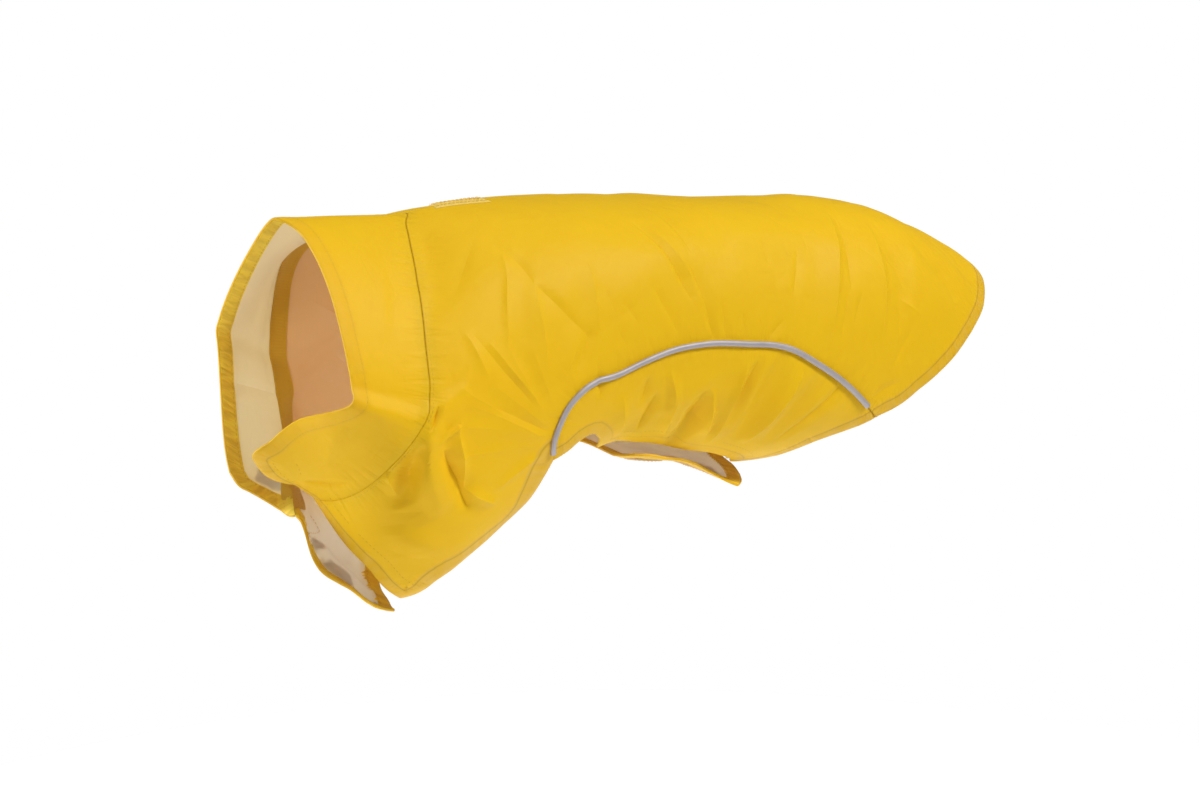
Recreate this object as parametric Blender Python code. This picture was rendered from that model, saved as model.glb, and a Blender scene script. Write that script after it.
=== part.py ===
"""A dog's raincoat, closed round an empty body, neck towards -X and tail towards +X.

The coat is cut from a back panel whose chest wings reach to the breast, two side panels that
close under the belly, and one wide collar band. Each cut piece is a thin wall on one common
form. The form is a row of rings round the dog. A place on it is given by two lengths:
along, measured down the back from the collar seam, and round, measured round the ring from the
middle of the back, negative on the dog's left side. The origin is on the inner face of the
back, where the coat lies on the dog.
"""
import bpy
import numpy as np
from collections import namedtuple
from mathutils import Vector
from mathutils.geometry import delaunay_2d_cdt

MM = 0.001                # the sizes and tables below are in millimetres

# Driving dimensions
WALL = 1.2                # coated cloth, one layer
SEAM_GAP = 0.4            # between the cut edges of two panels
LAY_GAP = 0.4             # between a panel and what is sewn on it
HEM_WIDTH = 10.0          # edge turned to the inside all round
HEM_WALL = 1.0
TAPE_WIDTH = 12.0         # tape over the collar seam, inside
TAPE_WALL = 0.8
HOOK_WIDTH = 20.0         # hook and loop strips
HOOK_WALL = 1.0
PIPING_WIDTH = 4.6        # reflective piping on the side seams
PIPING_HEIGHT = 3.8
SLOT_LENGTH = 30.0        # leash slot in the back
SLOT_WIDTH = 4.6
SLOT_MIDDLE = 40.0        # along, to the middle of the slot
WELT_BORDER = 5.0
WELT_WALL = 0.8
WELT_LIP_GAP = 1.2
COLLAR_TOP = 80.0         # collar band at the nape
TAIL_END = 484.0          # along, at the tip of the tail hem
MESH_STEP = 14.0          # size of the facets of the panels
EDGE_STEP = 13.0          # length of the facets along an edge
ORIGIN_ALONG = 190.0      # the origin is on the back's inner face here
COLLAR_END_STEP = 20.0    # and along the two ends of the collar
WELT_STEP = 8.0           # and round the slot's welt
SEAM_FACETS = 42          # along the collar seam
WELT_LIP_END = 2.0        # the welt's lips are joined this far in from the slot's ends
HEM_END = 2.0             # a hem stops this far short of its neighbours
PIPING_FRONT_END = 3.0    # and the piping this far, at each of its ends
PIPING_REAR_END = 17.0
MITRE_LIMIT = 0.4         # keeps the mitre of a sharp corner short
SAME_PLACE = 0.02         # places nearer than this are one place
SHARP_ANGLE = 0.9         # radians: edges sharper than this are shaded as edges
DROOP_SOFTENING = 20      # rounds of averaging of the way in which flaps and folds stand out
WALL_SOFTENING = 2        # and of the way in which the walls are thick

# Colours and roughness
CLOTH_YELLOW = (0.80, 0.50, 0.03)
HEM_YELLOW = (0.74, 0.44, 0.02)
REFLECTIVE_GREY = (0.42, 0.39, 0.42)
STRIP_CREAM = (0.80, 0.62, 0.42)
COATED_ROUGHNESS = 0.45
PIPING_ROUGHNESS = 0.5
STRIP_ROUGHNESS = 0.9

# One row for each ring: its top and its lowest point, its half width, how far down it is
# widest, how round it is above and below that (1 is straight, 2 is round, more is square), and
# how far its lowest part leans towards the head
Ring = namedtuple("Ring", "along x_top z_top x_low z_low half_width widest upper lower lean")
BODY_RINGS = (
    Ring(0, 0, 0, -66, -178, 79, 0.60, 1.5, 1.9, 0),
    Ring(40, 40, 3, -48, -222, 83, 0.52, 2.0, 2.0, 0),
    Ring(80, 80, 4, -12, -248, 85, 0.43, 2.3, 2.0, 0),
    Ring(130, 130, 3, 106, -172, 85, 0.48, 2.3, 2.2, 0),
    Ring(190, 190, 1, 172, -172, 85, 0.47, 2.4, 2.3, 0),
    Ring(260, 259, -4, 248, -186, 85, 0.50, 2.4, 2.3, 0),
    Ring(330, 329, -8, 325, -190, 82, 0.50, 2.4, 2.3, 0),
    Ring(400, 396, -26, 400, -192, 75, 0.50, 2.3, 2.2, 0),
    Ring(450, 440, -48, 450, -190, 62, 0.50, 2.2, 2.1, 0),
    Ring(500, 481, -73, 500, -190, 48, 0.50, 2.1, 2.1, 0),
)
# The collar's front edge differs on the two sides: the left end is tucked in under the throat
COLLAR_LEFT = Ring(-COLLAR_TOP, -86, 4, -82, -140, 75, 0.72, 1.6, 1.15, 22)
COLLAR_RIGHT = Ring(-COLLAR_TOP, -86, 4, -96, -170, 76, 0.46, 1.15, 3.0, 14)

# The right flaps hang a little open under the left ones: where round the ring their free edge
# lies, and how far it stands out from the form
Droop = namedtuple("Droop", "along edge stand_out")
RIGHT_DROOP = (
    Droop(-90, 215, 4), Droop(-76, 219, 6), Droop(-60, 228, 9), Droop(-40, 233, 13),
    Droop(-20, 240, 16), Droop(0, 256, 15), Droop(11, 278, 17), Droop(22, 302, 19),
    Droop(38, 336, 17), Droop(50, 353, 13), Droop(63, 367, 10), Droop(75, 370, 7),
    Droop(95, 355, 5), Droop(120, 325, 5), Droop(145, 312, 6), Droop(162, 318, 8),
    Droop(182, 325, 9), Droop(217, 323, 9), Droop(235, 321, 12), Droop(250, 319, 17),
    Droop(262, 312, 15), Droop(285, 300, 6), Droop(310, 300, 0), Droop(500, 300, 0),
)
DROOP_REACH = 65.0        # the flap begins to stand out this far before its edge

# The right shoulder is filled out more squarely than the left one, most at the collar seam
Swell = namedtuple("Swell", "along stand_out")
RIGHT_SHOULDER = (
    Swell(-100, 0), Swell(-80, 0), Swell(-40, 21), Swell(0, 38), Swell(35, 27), Swell(70, 10),
    Swell(110, 0), Swell(500, 0),
)
SHOULDER_MIDDLE = 87.0    # how far round from the middle of the back it stands out most
SHOULDER_REACH = 78.0     # and how far to both sides of that it does so

# The collar seam swings towards the head on both sides, then a little towards the tail: how far
# along it lies, by how far round
Bend = namedtuple("Bend", "round along")
SEAM_BENDS = (
    Bend(-400, 0), Bend(-215, 0), Bend(-188, 2), Bend(-168, 5), Bend(-152, 7), Bend(-137, 5),
    Bend(-122, 1), Bend(-105, -3), Bend(-85, -6), Bend(-57, -8), Bend(-30, -8), Bend(-12, -5),
    Bend(-3, 0), Bend(18, 0), Bend(40, -5), Bend(65, -11), Bend(90, -14), Bend(115, -14),
    Bend(135, -12), Bend(150, -8), Bend(170, -1), Bend(190, 3), Bend(210, 3), Bend(235, 0),
    Bend(400, 0),
)
SEAM_BEND_REACH = 40.0    # the cloth beside the seam follows it over this length

# The largest folds, each from one place to another: depth is negative for a trough
Fold = namedtuple("Fold", "along_1 round_1 along_2 round_2 depth width")
FOLDS = (
    # the collar's left end turns up, and one crease crosses its left side
    Fold(-52, -292, -22, -284, 4, 16), Fold(-80, -163, -28, -156, 4, 12),
    # left shoulder and chest
    Fold(48, -66, 102, -132, -3.5, 9), Fold(104, -126, 99, -148, -3, 9),
    Fold(36, -149, 87, -185, 2.5, 10), Fold(13, -180, 55, -241, 4.5, 9),
    Fold(31, -194, 52, -228, -3.5, 8), Fold(41, -194, 64, -232, 4, 8),
    # down the left side of the back
    Fold(138, -59, 173, -110, -3, 9), Fold(299, -46, 259, -120, -4.5, 11),
    Fold(311, -46, 305, -100, 2.5, 9), Fold(337, -54, 334, -92, -2.5, 9),
    Fold(303, -112, 298, -150, -2, 9),
    # left side panel
    Fold(190, -172, 189, -211, -4, 9), Fold(222, -174, 211, -203, -3, 8),
    Fold(255, -166, 230, -206, -3, 9), Fold(278, -171, 255, -202, 2.5, 8),
    # right side
    Fold(46, 70, 96, 128, -3.5, 10), Fold(36, 150, 84, 186, 2.5, 10),
    Fold(14, 180, 50, 244, 4, 10), Fold(142, 56, 176, 112, -3, 9),
    Fold(295, 50, 262, 120, -4, 12), Fold(330, 56, 326, 96, -2.5, 9),
    Fold(192, 172, 186, 216, -3.5, 9), Fold(252, 168, 226, 212, -3, 9),
)

# Cut edges, each from corner to corner as places (along, round) on the left side
CHEST_FRONT_LEFT = ((0, -272), (20, -285), (40, -298), (58, -316), (71, -327))
CHEST_FRONT_RIGHT = ((0, 256), (11, 278), (22, 302), (38, 336), (50, 353), (63, 366), (70, 371))
CHEST_HEM_LEFT = (
    (71, -327), (77, -315), (80, -304), (85, -298), (92, -286), (100, -274), (105, -258),
    (106, -240), (106, -216),
)
CHEST_HEM_RIGHT = (
    (70, 371), (76, 354), (79, 334), (83, 312), (91, 290), (100, 274), (105, 258), (106, 240),
    (106, 216),
)
SIDE_SEAM = (
    (106, 216), (102, 204), (101, 190), (103, 174), (110, 163), (125, 158), (138, 152),
    (155, 147), (180, 144), (212, 144), (252, 147), (274, 157), (292, 167), (323, 188),
    (336, 197),
)
TAIL_HEM = (
    (336, 197), (348, 189), (359, 181), (370, 171), (387, 153), (397, 142), (408, 129),
    (421, 113), (437, 92), (449, 76), (458, 61), (469, 40), (479, 19), (483, 0),
)
ARMHOLE_LEFT = ((106, -216), (112, -210), (116, -203), (121, -200), (126, -205), (134, -224))
BELLY_EDGE_LEFT = (
    (134, -224), (142, -223), (153, -226), (176, -226), (201, -234), (228, -239), (243, -245),
    (252, -257),
)
BELLY_HEM_LEFT = (
    (252, -257), (263, -259), (271, -256), (278, -247), (291, -231), (307, -217), (326, -204),
    (336, -197),
)
ARMHOLE_RIGHT = (
    (106, 216), (112, 210), (118, 206), (128, 215), (145, 235), (158, 255), (164, 272),
    (163, 290), (159, 305), (162, 318),
)
BELLY_EDGE_RIGHT = ((162, 318), (182, 325), (200, 325), (217, 323), (235, 321), (252, 319))
BELLY_HEM_RIGHT = (
    (252, 319), (262, 305), (266, 285), (269, 265), (278, 247), (291, 231), (307, 217),
    (326, 204), (336, 197),
)
COLLAR_END_LEFT = (
    (-82, -266), (-76, -277), (-62, -287), (-42, -291), (-22, -286), (-8, -278), (0, -272),
)
COLLAR_END_RIGHT = ((0, 256), (-20, 240), (-40, 233), (-60, 228), (-74, 222), (-80, 212))
COLLAR_FRONT = (
    (-80, 212), (-80, 180), (-83, 140), (-88, 100), (-90, 60), (-90, 30), (-88, 0), (-82, -20),
    (-80, -50), (-80, -130), (-79, -160), (-86, -180), (-93, -203), (-96, -222), (-93, -243),
    (-82, -266),
)

# Hook strips inside the left edges and loop strips outside the right ones: the edge each lies
# along, between which shares of its length, and how far from the edge it begins
Strip = namedtuple("Strip", "name edge start end margin")
STRIPS = (
    Strip("hook_chest_upper", "chest_left", 0.06, 0.30, 2.0),
    Strip("hook_chest_lower", "chest_left", 0.38, 0.80, 2.0),
    Strip("hook_belly_front", "belly_left", 0.04, 0.38, 2.0),
    Strip("hook_belly_rear", "belly_left", 0.74, 0.96, 2.0),
    Strip("hook_collar", "collar_left", 0.30, 0.78, 12.0),
    Strip("loop_chest_upper", "chest_right", 0.68, 0.90, 13.0),
    Strip("loop_chest_lower", "chest_right", 0.18, 0.56, 13.0),
    Strip("loop_belly_front", "belly_right", 0.62, 0.94, 13.0),
    Strip("loop_belly_rear", "belly_right", 0.08, 0.32, 13.0),
    Strip("loop_collar", "collar_right", 0.24, 0.72, 13.0),
)

ROUND_REACH = 400.0       # the form is worked out this far round from the middle of the back
LATTICE_STEP = 4.0

# Section of the piping, in parts of its half width and of its height
Corner = namedtuple("Corner", "across up")
PIPING_SECTION = (
    Corner(-0.8, 0.0), Corner(0.8, 0.0), Corner(1.0, 0.45), Corner(0.55, 1.0),
    Corner(-0.55, 1.0), Corner(-1.0, 0.45),
)


def clear_scene():
    for old in list(bpy.data.objects):
        bpy.data.objects.remove(old, do_unlink=True)


def smooth_rows(positions, knots, rows):
    """Values on a smooth curve through rows given at knots."""
    slopes = np.gradient(rows, knots, axis=0)
    index = np.clip(np.searchsorted(knots, positions, side="right") - 1, 0, len(knots) - 2)
    width = (knots[index + 1] - knots[index])[:, None]
    s = (positions - knots[index])[:, None] / width
    start = (2 * s**3 - 3 * s**2 + 1) * rows[index]
    end = (3 * s**2 - 2 * s**3) * rows[index + 1]
    leave = (s**3 - 2 * s**2 + s) * width * slopes[index]
    arrive = (s**3 - s**2) * width * slopes[index + 1]
    return start + leave + end + arrive


def ring_line(ring, reach=1.4, count=421):
    """Points down one side of a ring and on past its lowest point, with their lengths."""
    angle = np.linspace(0, reach * np.pi, count)
    sine = np.sin(angle)
    cosine = np.cos(angle)
    above = (cosine > 0) & (angle < np.pi)
    power = np.where(above, 2 / ring.upper, 2 / ring.lower)
    across = ring.half_width * np.sign(sine) * np.abs(sine)**power
    rise = np.abs(cosine)**power
    down = np.where(above, ring.widest * (1 - rise), ring.widest + (1 - ring.widest) * rise)
    points = np.stack([
        ring.x_top + (ring.x_low - ring.x_top) * down,
        across,
        ring.z_top + (ring.z_low - ring.z_top) * down,
    ], axis=1)
    points[:, 0] -= ring.lean * np.minimum(angle / np.pi, 1.0)**4
    steps = np.linalg.norm(np.diff(points, axis=0), axis=1)
    lengths = np.concatenate([[0.0], np.cumsum(steps)])
    half = float(np.interp(np.pi, angle, lengths))
    return points, lengths, half


def read_line(points, lengths, at):
    return np.stack([np.interp(at, lengths, points[:, axis]) for axis in range(3)], axis=1)


def collar_edge_line(ring, at):
    """The collar's front edge at lengths in parts of its half, straight on past the middle."""
    last_stretch = 12.0
    points, lengths, half = ring_line(ring)
    found = read_line(points, lengths, np.minimum(at, 1.0) * half)
    low = read_line(points, lengths, np.array([half - last_stretch, half]))
    onward = (low[1] - low[0]) / last_stretch
    return found + np.maximum(at - 1.0, 0.0)[:, None] * half * onward


def outward(points):
    """Unit normals of a lattice of points, away from the dog."""
    down_back = np.gradient(points, axis=0)
    round_ring = np.gradient(points, axis=1)
    normal = np.cross(down_back, round_ring)
    return normal / np.maximum(np.linalg.norm(normal, axis=2, keepdims=True), 1e-9)


def softened(normal, rounds):
    """Normals averaged with their neighbours down the back, so that a bend isn't too sharp."""
    for _ in range(rounds):
        padded = np.concatenate([normal[:1], normal, normal[-1:]])
        normal = (padded[:-2] + 2 * padded[1:-1] + padded[2:]) / 4
    return normal / np.maximum(np.linalg.norm(normal, axis=2, keepdims=True), 1e-9)


class Form:
    """The coat's outer surface as a lattice over along and round, read between its points."""

    def __init__(self):
        self.along = np.arange(-COLLAR_TOP - 24.0, TAIL_END + 17.0, LATTICE_STEP)
        self.round = np.arange(-ROUND_REACH, ROUND_REACH + 1.0, LATTICE_STEP)
        rows = np.array(BODY_RINGS, dtype=float)
        self.points = np.zeros((len(self.along), len(self.round), 3))
        self.half = np.zeros(len(self.along))
        seam, seam_half = self.body_row(Ring(*rows[0]))
        fronts = self.collar_front(seam_half)
        for i, along in enumerate(self.along):
            if along <= 0:
                share = -along / COLLAR_TOP
                self.points[i] = seam * (1 - share) + fronts * share
                self.half[i] = seam_half
            else:
                row = smooth_rows(np.array([along]), rows[:, 0], rows)[0]
                self.points[i], self.half[i] = self.body_row(Ring(*row))
        self.points = self.bent_at_seam(self.points)
        way_out = softened(outward(self.points), DROOP_SOFTENING)
        self.points += way_out * self.stand_out()[:, :, None]
        self.normals = softened(outward(self.points), WALL_SOFTENING)

    def body_row(self, ring):
        points, lengths, half = ring_line(ring)
        row = read_line(points, lengths, np.abs(self.round))
        row[:, 1] *= np.where(self.round < 0, -1.0, 1.0)
        return row, half

    def collar_front(self, seam_half):
        share = np.abs(self.round) / seam_half
        left = collar_edge_line(COLLAR_LEFT, share)
        right = collar_edge_line(COLLAR_RIGHT, share)
        left[:, 1] *= -1.0
        return np.where((self.round < 0)[:, None], left, right)

    def bent_at_seam(self, points):
        """The same surface, on which the line at the collar seam follows the seam's bends."""
        bends = np.array(SEAM_BENDS, dtype=float)
        bend = smooth_rows(self.round, bends[:, 0], bends[:, 1:])[:, 0]
        near = np.clip(1.0 - (self.along / SEAM_BEND_REACH)**2, 0.0, 1.0)**2
        place = (self.along[:, None] + near[:, None] * bend - self.along[0]) / LATTICE_STEP
        i = np.clip(place.astype(int), 0, len(self.along) - 2)
        j = np.arange(len(self.round))
        share = (place - i)[:, :, None]
        return points[i, j] * (1 - share) + points[i + 1, j] * share

    def stand_out(self):
        """How far each lattice point is moved outwards: flaps, right shoulder, then folds."""
        droop = np.array(RIGHT_DROOP, dtype=float)
        edge, amount = smooth_rows(np.maximum(self.along, droop[0, 0]), droop[:, 0],
                                   droop[:, 1:]).T
        share = np.clip(1.0 + (self.round[None, :] - edge[:, None]) / DROOP_REACH, 0.0, 1.2)
        moved = np.maximum(amount, 0.0)[:, None] * share**2
        shoulder = np.array(RIGHT_SHOULDER, dtype=float)
        swell = smooth_rows(self.along, shoulder[:, 0], shoulder[:, 1:])
        away = np.clip((self.round - SHOULDER_MIDDLE) / SHOULDER_REACH, -1.0, 1.0)
        moved += np.maximum(swell, 0.0) * np.cos(away * np.pi / 2)[None, :]**2
        for fold in FOLDS:
            start = np.array([fold.along_1, fold.round_1], dtype=float)
            run = np.array([fold.along_2, fold.round_2], dtype=float) - start
            length = np.hypot(*run)
            from_start = np.stack(np.meshgrid(self.along, self.round, indexing="ij"), axis=2)
            from_start -= start
            part = np.clip(from_start @ run / length**2, 0.0, 1.0)
            away = np.linalg.norm(from_start - part[:, :, None] * run, axis=2)
            moved += fold.depth * np.exp(-(away / fold.width)**2)
        return moved

    def read(self, field, places):
        """Values of a lattice field at places (along, round)."""
        a = (places[:, 0] - self.along[0]) / LATTICE_STEP
        r = (places[:, 1] - self.round[0]) / LATTICE_STEP
        i = np.clip(a.astype(int), 0, len(self.along) - 2)
        j = np.clip(r.astype(int), 0, len(self.round) - 2)
        u = (a - i)[:, None]
        v = (r - j)[:, None]
        near = field[i, j] * (1 - v) + field[i, j + 1] * v
        far = field[i + 1, j] * (1 - v) + field[i + 1, j + 1] * v
        return near * (1 - u) + far * u

    def surface(self, places, out):
        """Points at a height out over the outer surface, at places (along, round)."""
        normal = self.read(self.normals, places)
        normal /= np.linalg.norm(normal, axis=1, keepdims=True)
        return self.read(self.points, places) + normal * out

    def inwards(self, places, ways):
        """For ways along a cut edge, the step in (along, round) that goes 1 mm to its left."""
        shift_a = np.array([1.0, 0.0])
        shift_r = np.array([0.0, 1.0])
        by_a = (self.surface(places + shift_a, 0) - self.surface(places - shift_a, 0)) / 2
        by_r = (self.surface(places + shift_r, 0) - self.surface(places - shift_r, 0)) / 2
        aa = np.sum(by_a * by_a, axis=1)
        ar = np.sum(by_a * by_r, axis=1)
        rr = np.sum(by_r * by_r, axis=1)
        across_a = -(ar * ways[:, 0] + rr * ways[:, 1])
        across_r = aa * ways[:, 0] + ar * ways[:, 1]
        size = np.sqrt(aa * rr - ar**2)
        length = np.sqrt(aa * ways[:, 0]**2 + 2 * ar * ways[:, 0] * ways[:, 1]
                         + rr * ways[:, 1]**2)
        return np.stack([across_a, across_r], axis=1) / (size * length)[:, None]


def mirrored(table):
    return tuple((along, -round_) for along, round_ in table)


def backwards(table):
    return tuple(reversed(table))


def smooth_edge(table, step=EDGE_STEP):
    """Evenly spaced places on a smooth curve through the places of a cut edge."""
    knots = np.array(table, dtype=float)
    chords = np.concatenate([[0.0], np.cumsum(np.linalg.norm(np.diff(knots, axis=0), axis=1))])
    count = max(2, int(round(chords[-1] / step)) + 1)
    return smooth_rows(np.linspace(0.0, chords[-1], count), chords, knots)


def hem_edge(table):
    """A cut edge with room at both corners for a mitred hem."""
    run = smooth_edge(table)
    if len(run) > 5:
        run = np.delete(run, [1, -2], axis=0)
    return run


def join_edges(*edges):
    """One run of places from edges that follow each other corner to corner."""
    run = [edges[0]]
    for edge in edges[1:]:
        run.append(edge[1:])
    return np.concatenate(run)


def inset(form, run, width, closed=False):
    """The run moved width to its left on the cloth, mitred at its corners."""
    ahead = np.roll(run, -1, axis=0) - run
    behind = run - np.roll(run, 1, axis=0)
    if not closed:
        ahead[-1] = ahead[-2]
        behind[0] = behind[1]
    left_ahead = form.inwards(run, ahead)
    left_behind = form.inwards(run, behind)
    unit_ahead = ahead / np.linalg.norm(ahead, axis=1, keepdims=True)
    unit_behind = behind / np.linalg.norm(behind, axis=1, keepdims=True)
    turn = np.sum(unit_ahead * unit_behind, axis=1)
    mitre = (left_ahead + left_behind) / np.maximum(1.0 + turn, MITRE_LIMIT)[:, None]
    return run + mitre * width


def inside(outline, places):
    """Which places lie inside a closed outline."""
    x, y = places[:, 0], places[:, 1]
    found = np.zeros(len(places), dtype=bool)
    for (x1, y1), (x2, y2) in zip(outline, np.roll(outline, -1, axis=0)):
        crosses = (y1 > y) != (y2 > y)
        if y1 != y2:
            found ^= crosses & (x < (x2 - x1) * (y - y1) / (y2 - y1) + x1)
    return found


def distance_to(run, places):
    """Distance from each place to the nearest piece of a run."""
    nearest = np.full(len(places), 1e9)
    for start, end in zip(run[:-1], run[1:]):
        way = end - start
        part = np.clip((places - start) @ way / max(way @ way, 1e-9), 0.0, 1.0)
        away = np.linalg.norm(places - start - part[:, None] * way, axis=1)
        nearest = np.minimum(nearest, away)
    return nearest


def make_material(name, colour, roughness):
    material = bpy.data.materials.new(name)
    material.use_nodes = True
    shader = material.node_tree.nodes["Principled BSDF"]
    shader.inputs["Base Color"].default_value = (*colour, 1.0)
    shader.inputs["Roughness"].default_value = roughness
    return material


def make_object(name, points, faces, colour, roughness):
    mesh = bpy.data.meshes.new(name)
    mesh.from_pydata((points * MM).tolist(), [], faces)
    mesh.update()
    mesh.shade_smooth()
    mesh.set_sharp_from_angle(angle=SHARP_ANGLE)
    piece = bpy.data.objects.new(name, mesh)
    piece.data.materials.append(make_material(name + "_finish", colour, roughness))
    bpy.context.scene.collection.objects.link(piece)
    return piece


def shell(form, name, cloth, top, bottom, colour, roughness=COATED_ROUGHNESS):
    """A closed wall between two heights over the form, from facets over (along, round)."""
    places, triangles = cloth
    origin = form.surface(np.array([[ORIGIN_ALONG, 0.0]]), -WALL)
    upper = form.surface(places, top) - origin
    lower = form.surface(places, bottom) - origin
    count = len(places)
    faces = [tuple(t) for t in triangles]
    faces += [(c + count, b + count, a + count) for a, b, c in triangles]
    used = {(a, b) for t in triangles for a, b in ((t[0], t[1]), (t[1], t[2]), (t[2], t[0]))}
    for a, b in sorted(used):
        if (b, a) not in used:
            faces.append((b, a, a + count))
            faces.append((b, a + count, b + count))
    return make_object(name, np.concatenate([upper, lower]), faces, colour, roughness)


def closed_run(loop):
    return np.concatenate([loop, loop[:1]])


def kept_facets(places, triangles, keep):
    """The facets that are kept, with only the places that they use."""
    triangles = triangles[keep]
    used = np.unique(triangles)
    renumber = np.zeros(len(places), dtype=int)
    renumber[used] = np.arange(len(used))
    return places[used], renumber[triangles].tolist()


def cut_cloth(outline, lines=(), holes=()):
    """Facets of a piece of cloth inside an outline, which follow its lines and its holes."""
    loops = [np.asarray(outline)] + [np.asarray(hole) for hole in holes]
    runs = [closed_run(loop) for loop in loops] + [np.asarray(line) for line in lines]
    fixed = []
    edges = []
    for run in runs:
        edges += [(len(fixed) + k, len(fixed) + k + 1) for k in range(len(run) - 1)]
        fixed += [tuple(p) for p in run]
    low = loops[0].min(axis=0)
    high = loops[0].max(axis=0)
    row_a = np.arange(low[0] + MESH_STEP / 2, high[0], MESH_STEP)
    row_r = np.arange(np.floor(low[1] / MESH_STEP) * MESH_STEP, high[1], MESH_STEP)
    grid = np.stack(np.meshgrid(row_a, row_r, indexing="ij"), axis=2).reshape(-1, 2)
    for run in runs:
        grid = grid[distance_to(run, grid) > MESH_STEP / 2]
    places = fixed + [tuple(p) for p in grid]
    result = delaunay_2d_cdt([Vector(p) for p in places], edges, [], 0, SAME_PLACE, False)
    places = np.array([tuple(v) for v in result[0]])
    triangles = np.array([tuple(f) for f in result[2]])
    middle = places[triangles].mean(axis=1)
    keep = inside(loops[0], middle)
    for hole in loops[1:]:
        keep &= ~inside(hole, middle)
    return kept_facets(places, triangles, keep)


def patch(cloth, loop):
    """The facets of a piece of cloth that lie inside a closed loop."""
    places, triangles = cloth
    triangles = np.array(triangles)
    return kept_facets(places, triangles, inside(loop, places[triangles].mean(axis=1)))


def strip_loop(form, run, near, far):
    """A closed loop round the strip between two distances to the left of a run."""
    return np.concatenate([inset(form, run, near), inset(form, run, far)[::-1]])


def part_of(run, start, end):
    """The stretch of a run between two shares of its length."""
    chords = np.concatenate([[0.0], np.cumsum(np.linalg.norm(np.diff(run, axis=0), axis=1))])
    count = max(3, int(round((end - start) * chords[-1] / EDGE_STEP)) + 1)
    at = np.linspace(start, end, count) * chords[-1]
    return np.stack([np.interp(at, chords, run[:, axis]) for axis in range(2)], axis=1)


def box_run(middle, length, width, step):
    """A closed loop of places round a rectangle on the middle of the back."""
    count = max(2, int(round(length / step)))
    a = np.linspace(middle - length / 2, middle + length / 2, count + 1)
    lower = np.stack([a, np.full(count + 1, -width / 2)], axis=1)
    upper = np.stack([a[::-1], np.full(count + 1, width / 2)], axis=1)
    return np.concatenate([lower, upper])


def piping(form, name, run):
    """Reflective piping: a padded strip on the outside of a seam, with a flat underside."""
    origin = form.surface(np.array([[ORIGIN_ALONG, 0.0]]), -WALL)
    rings = []
    for corner in PIPING_SECTION:
        beside = inset(form, run, corner.across * PIPING_WIDTH / 2)
        rings.append(form.surface(beside, LAY_GAP + corner.up * PIPING_HEIGHT) - origin)
    points = np.stack(rings, axis=1).reshape(-1, 3)
    corners = len(PIPING_SECTION)
    faces = []
    for k in range(len(run) - 1):
        for c in range(corners):
            a = k * corners + c
            b = k * corners + (c + 1) % corners
            faces += [(a, b, a + corners), (b, b + corners, a + corners)]
    last = (len(run) - 1) * corners
    faces.append(tuple(reversed(range(corners))))
    faces.append(tuple(last + c for c in range(corners)))
    return make_object(name, points, faces, REFLECTIVE_GREY, PIPING_ROUGHNESS)


def trimmed(run, start=HEM_END, end=HEM_END):
    """A run with a little taken off its ends, so that it stops short of its neighbours."""
    chords = np.concatenate([[0.0], np.cumsum(np.linalg.norm(np.diff(run, axis=0), axis=1))])
    kept = (chords > start + 1.0) & (chords < chords[-1] - end - 1.0)
    at = np.concatenate([[start], chords[kept], [chords[-1] - end]])
    return np.stack([np.interp(at, chords, run[:, axis]) for axis in range(2)], axis=1)


def seam_tape(collar_cloth, back_cloth, run):
    """Facets of the tape: those of both panels beside the seam, joined across its gap."""
    reach = TAPE_WIDTH / 2
    half_gap = SEAM_GAP / 2
    ends = run[[0, -1], 1]
    places = []
    triangles = []
    for cloth, low, high in ((collar_cloth, -reach, 0.0), (back_cloth, 0.0, reach)):
        loop = np.array([(low, ends[0]), (low, ends[1]), (high, ends[1]), (high, ends[0])])
        found, facets = patch(cloth, loop)
        triangles += [tuple(k + len(places) for k in facet) for facet in facets]
        places += [tuple(p) for p in found]
    all_places = np.array(places)
    rows = []
    for along in (-half_gap, half_gap):
        row = np.nonzero(np.abs(all_places[:, 0] - along) < SAME_PLACE)[0]
        rows.append(row[np.argsort(all_places[row, 1])])
    before, after = rows
    i = 0
    j = 0
    while i < len(before) - 1 or j < len(after) - 1:
        at_end = j == len(after) - 1
        if at_end or (i < len(before) - 1
                      and all_places[before[i + 1], 1] <= all_places[after[j + 1], 1]):
            triangles.append((before[i], after[j], before[i + 1]))
            i += 1
        else:
            triangles.append((before[i], after[j], after[j + 1]))
            j += 1
    return all_places, triangles


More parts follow.
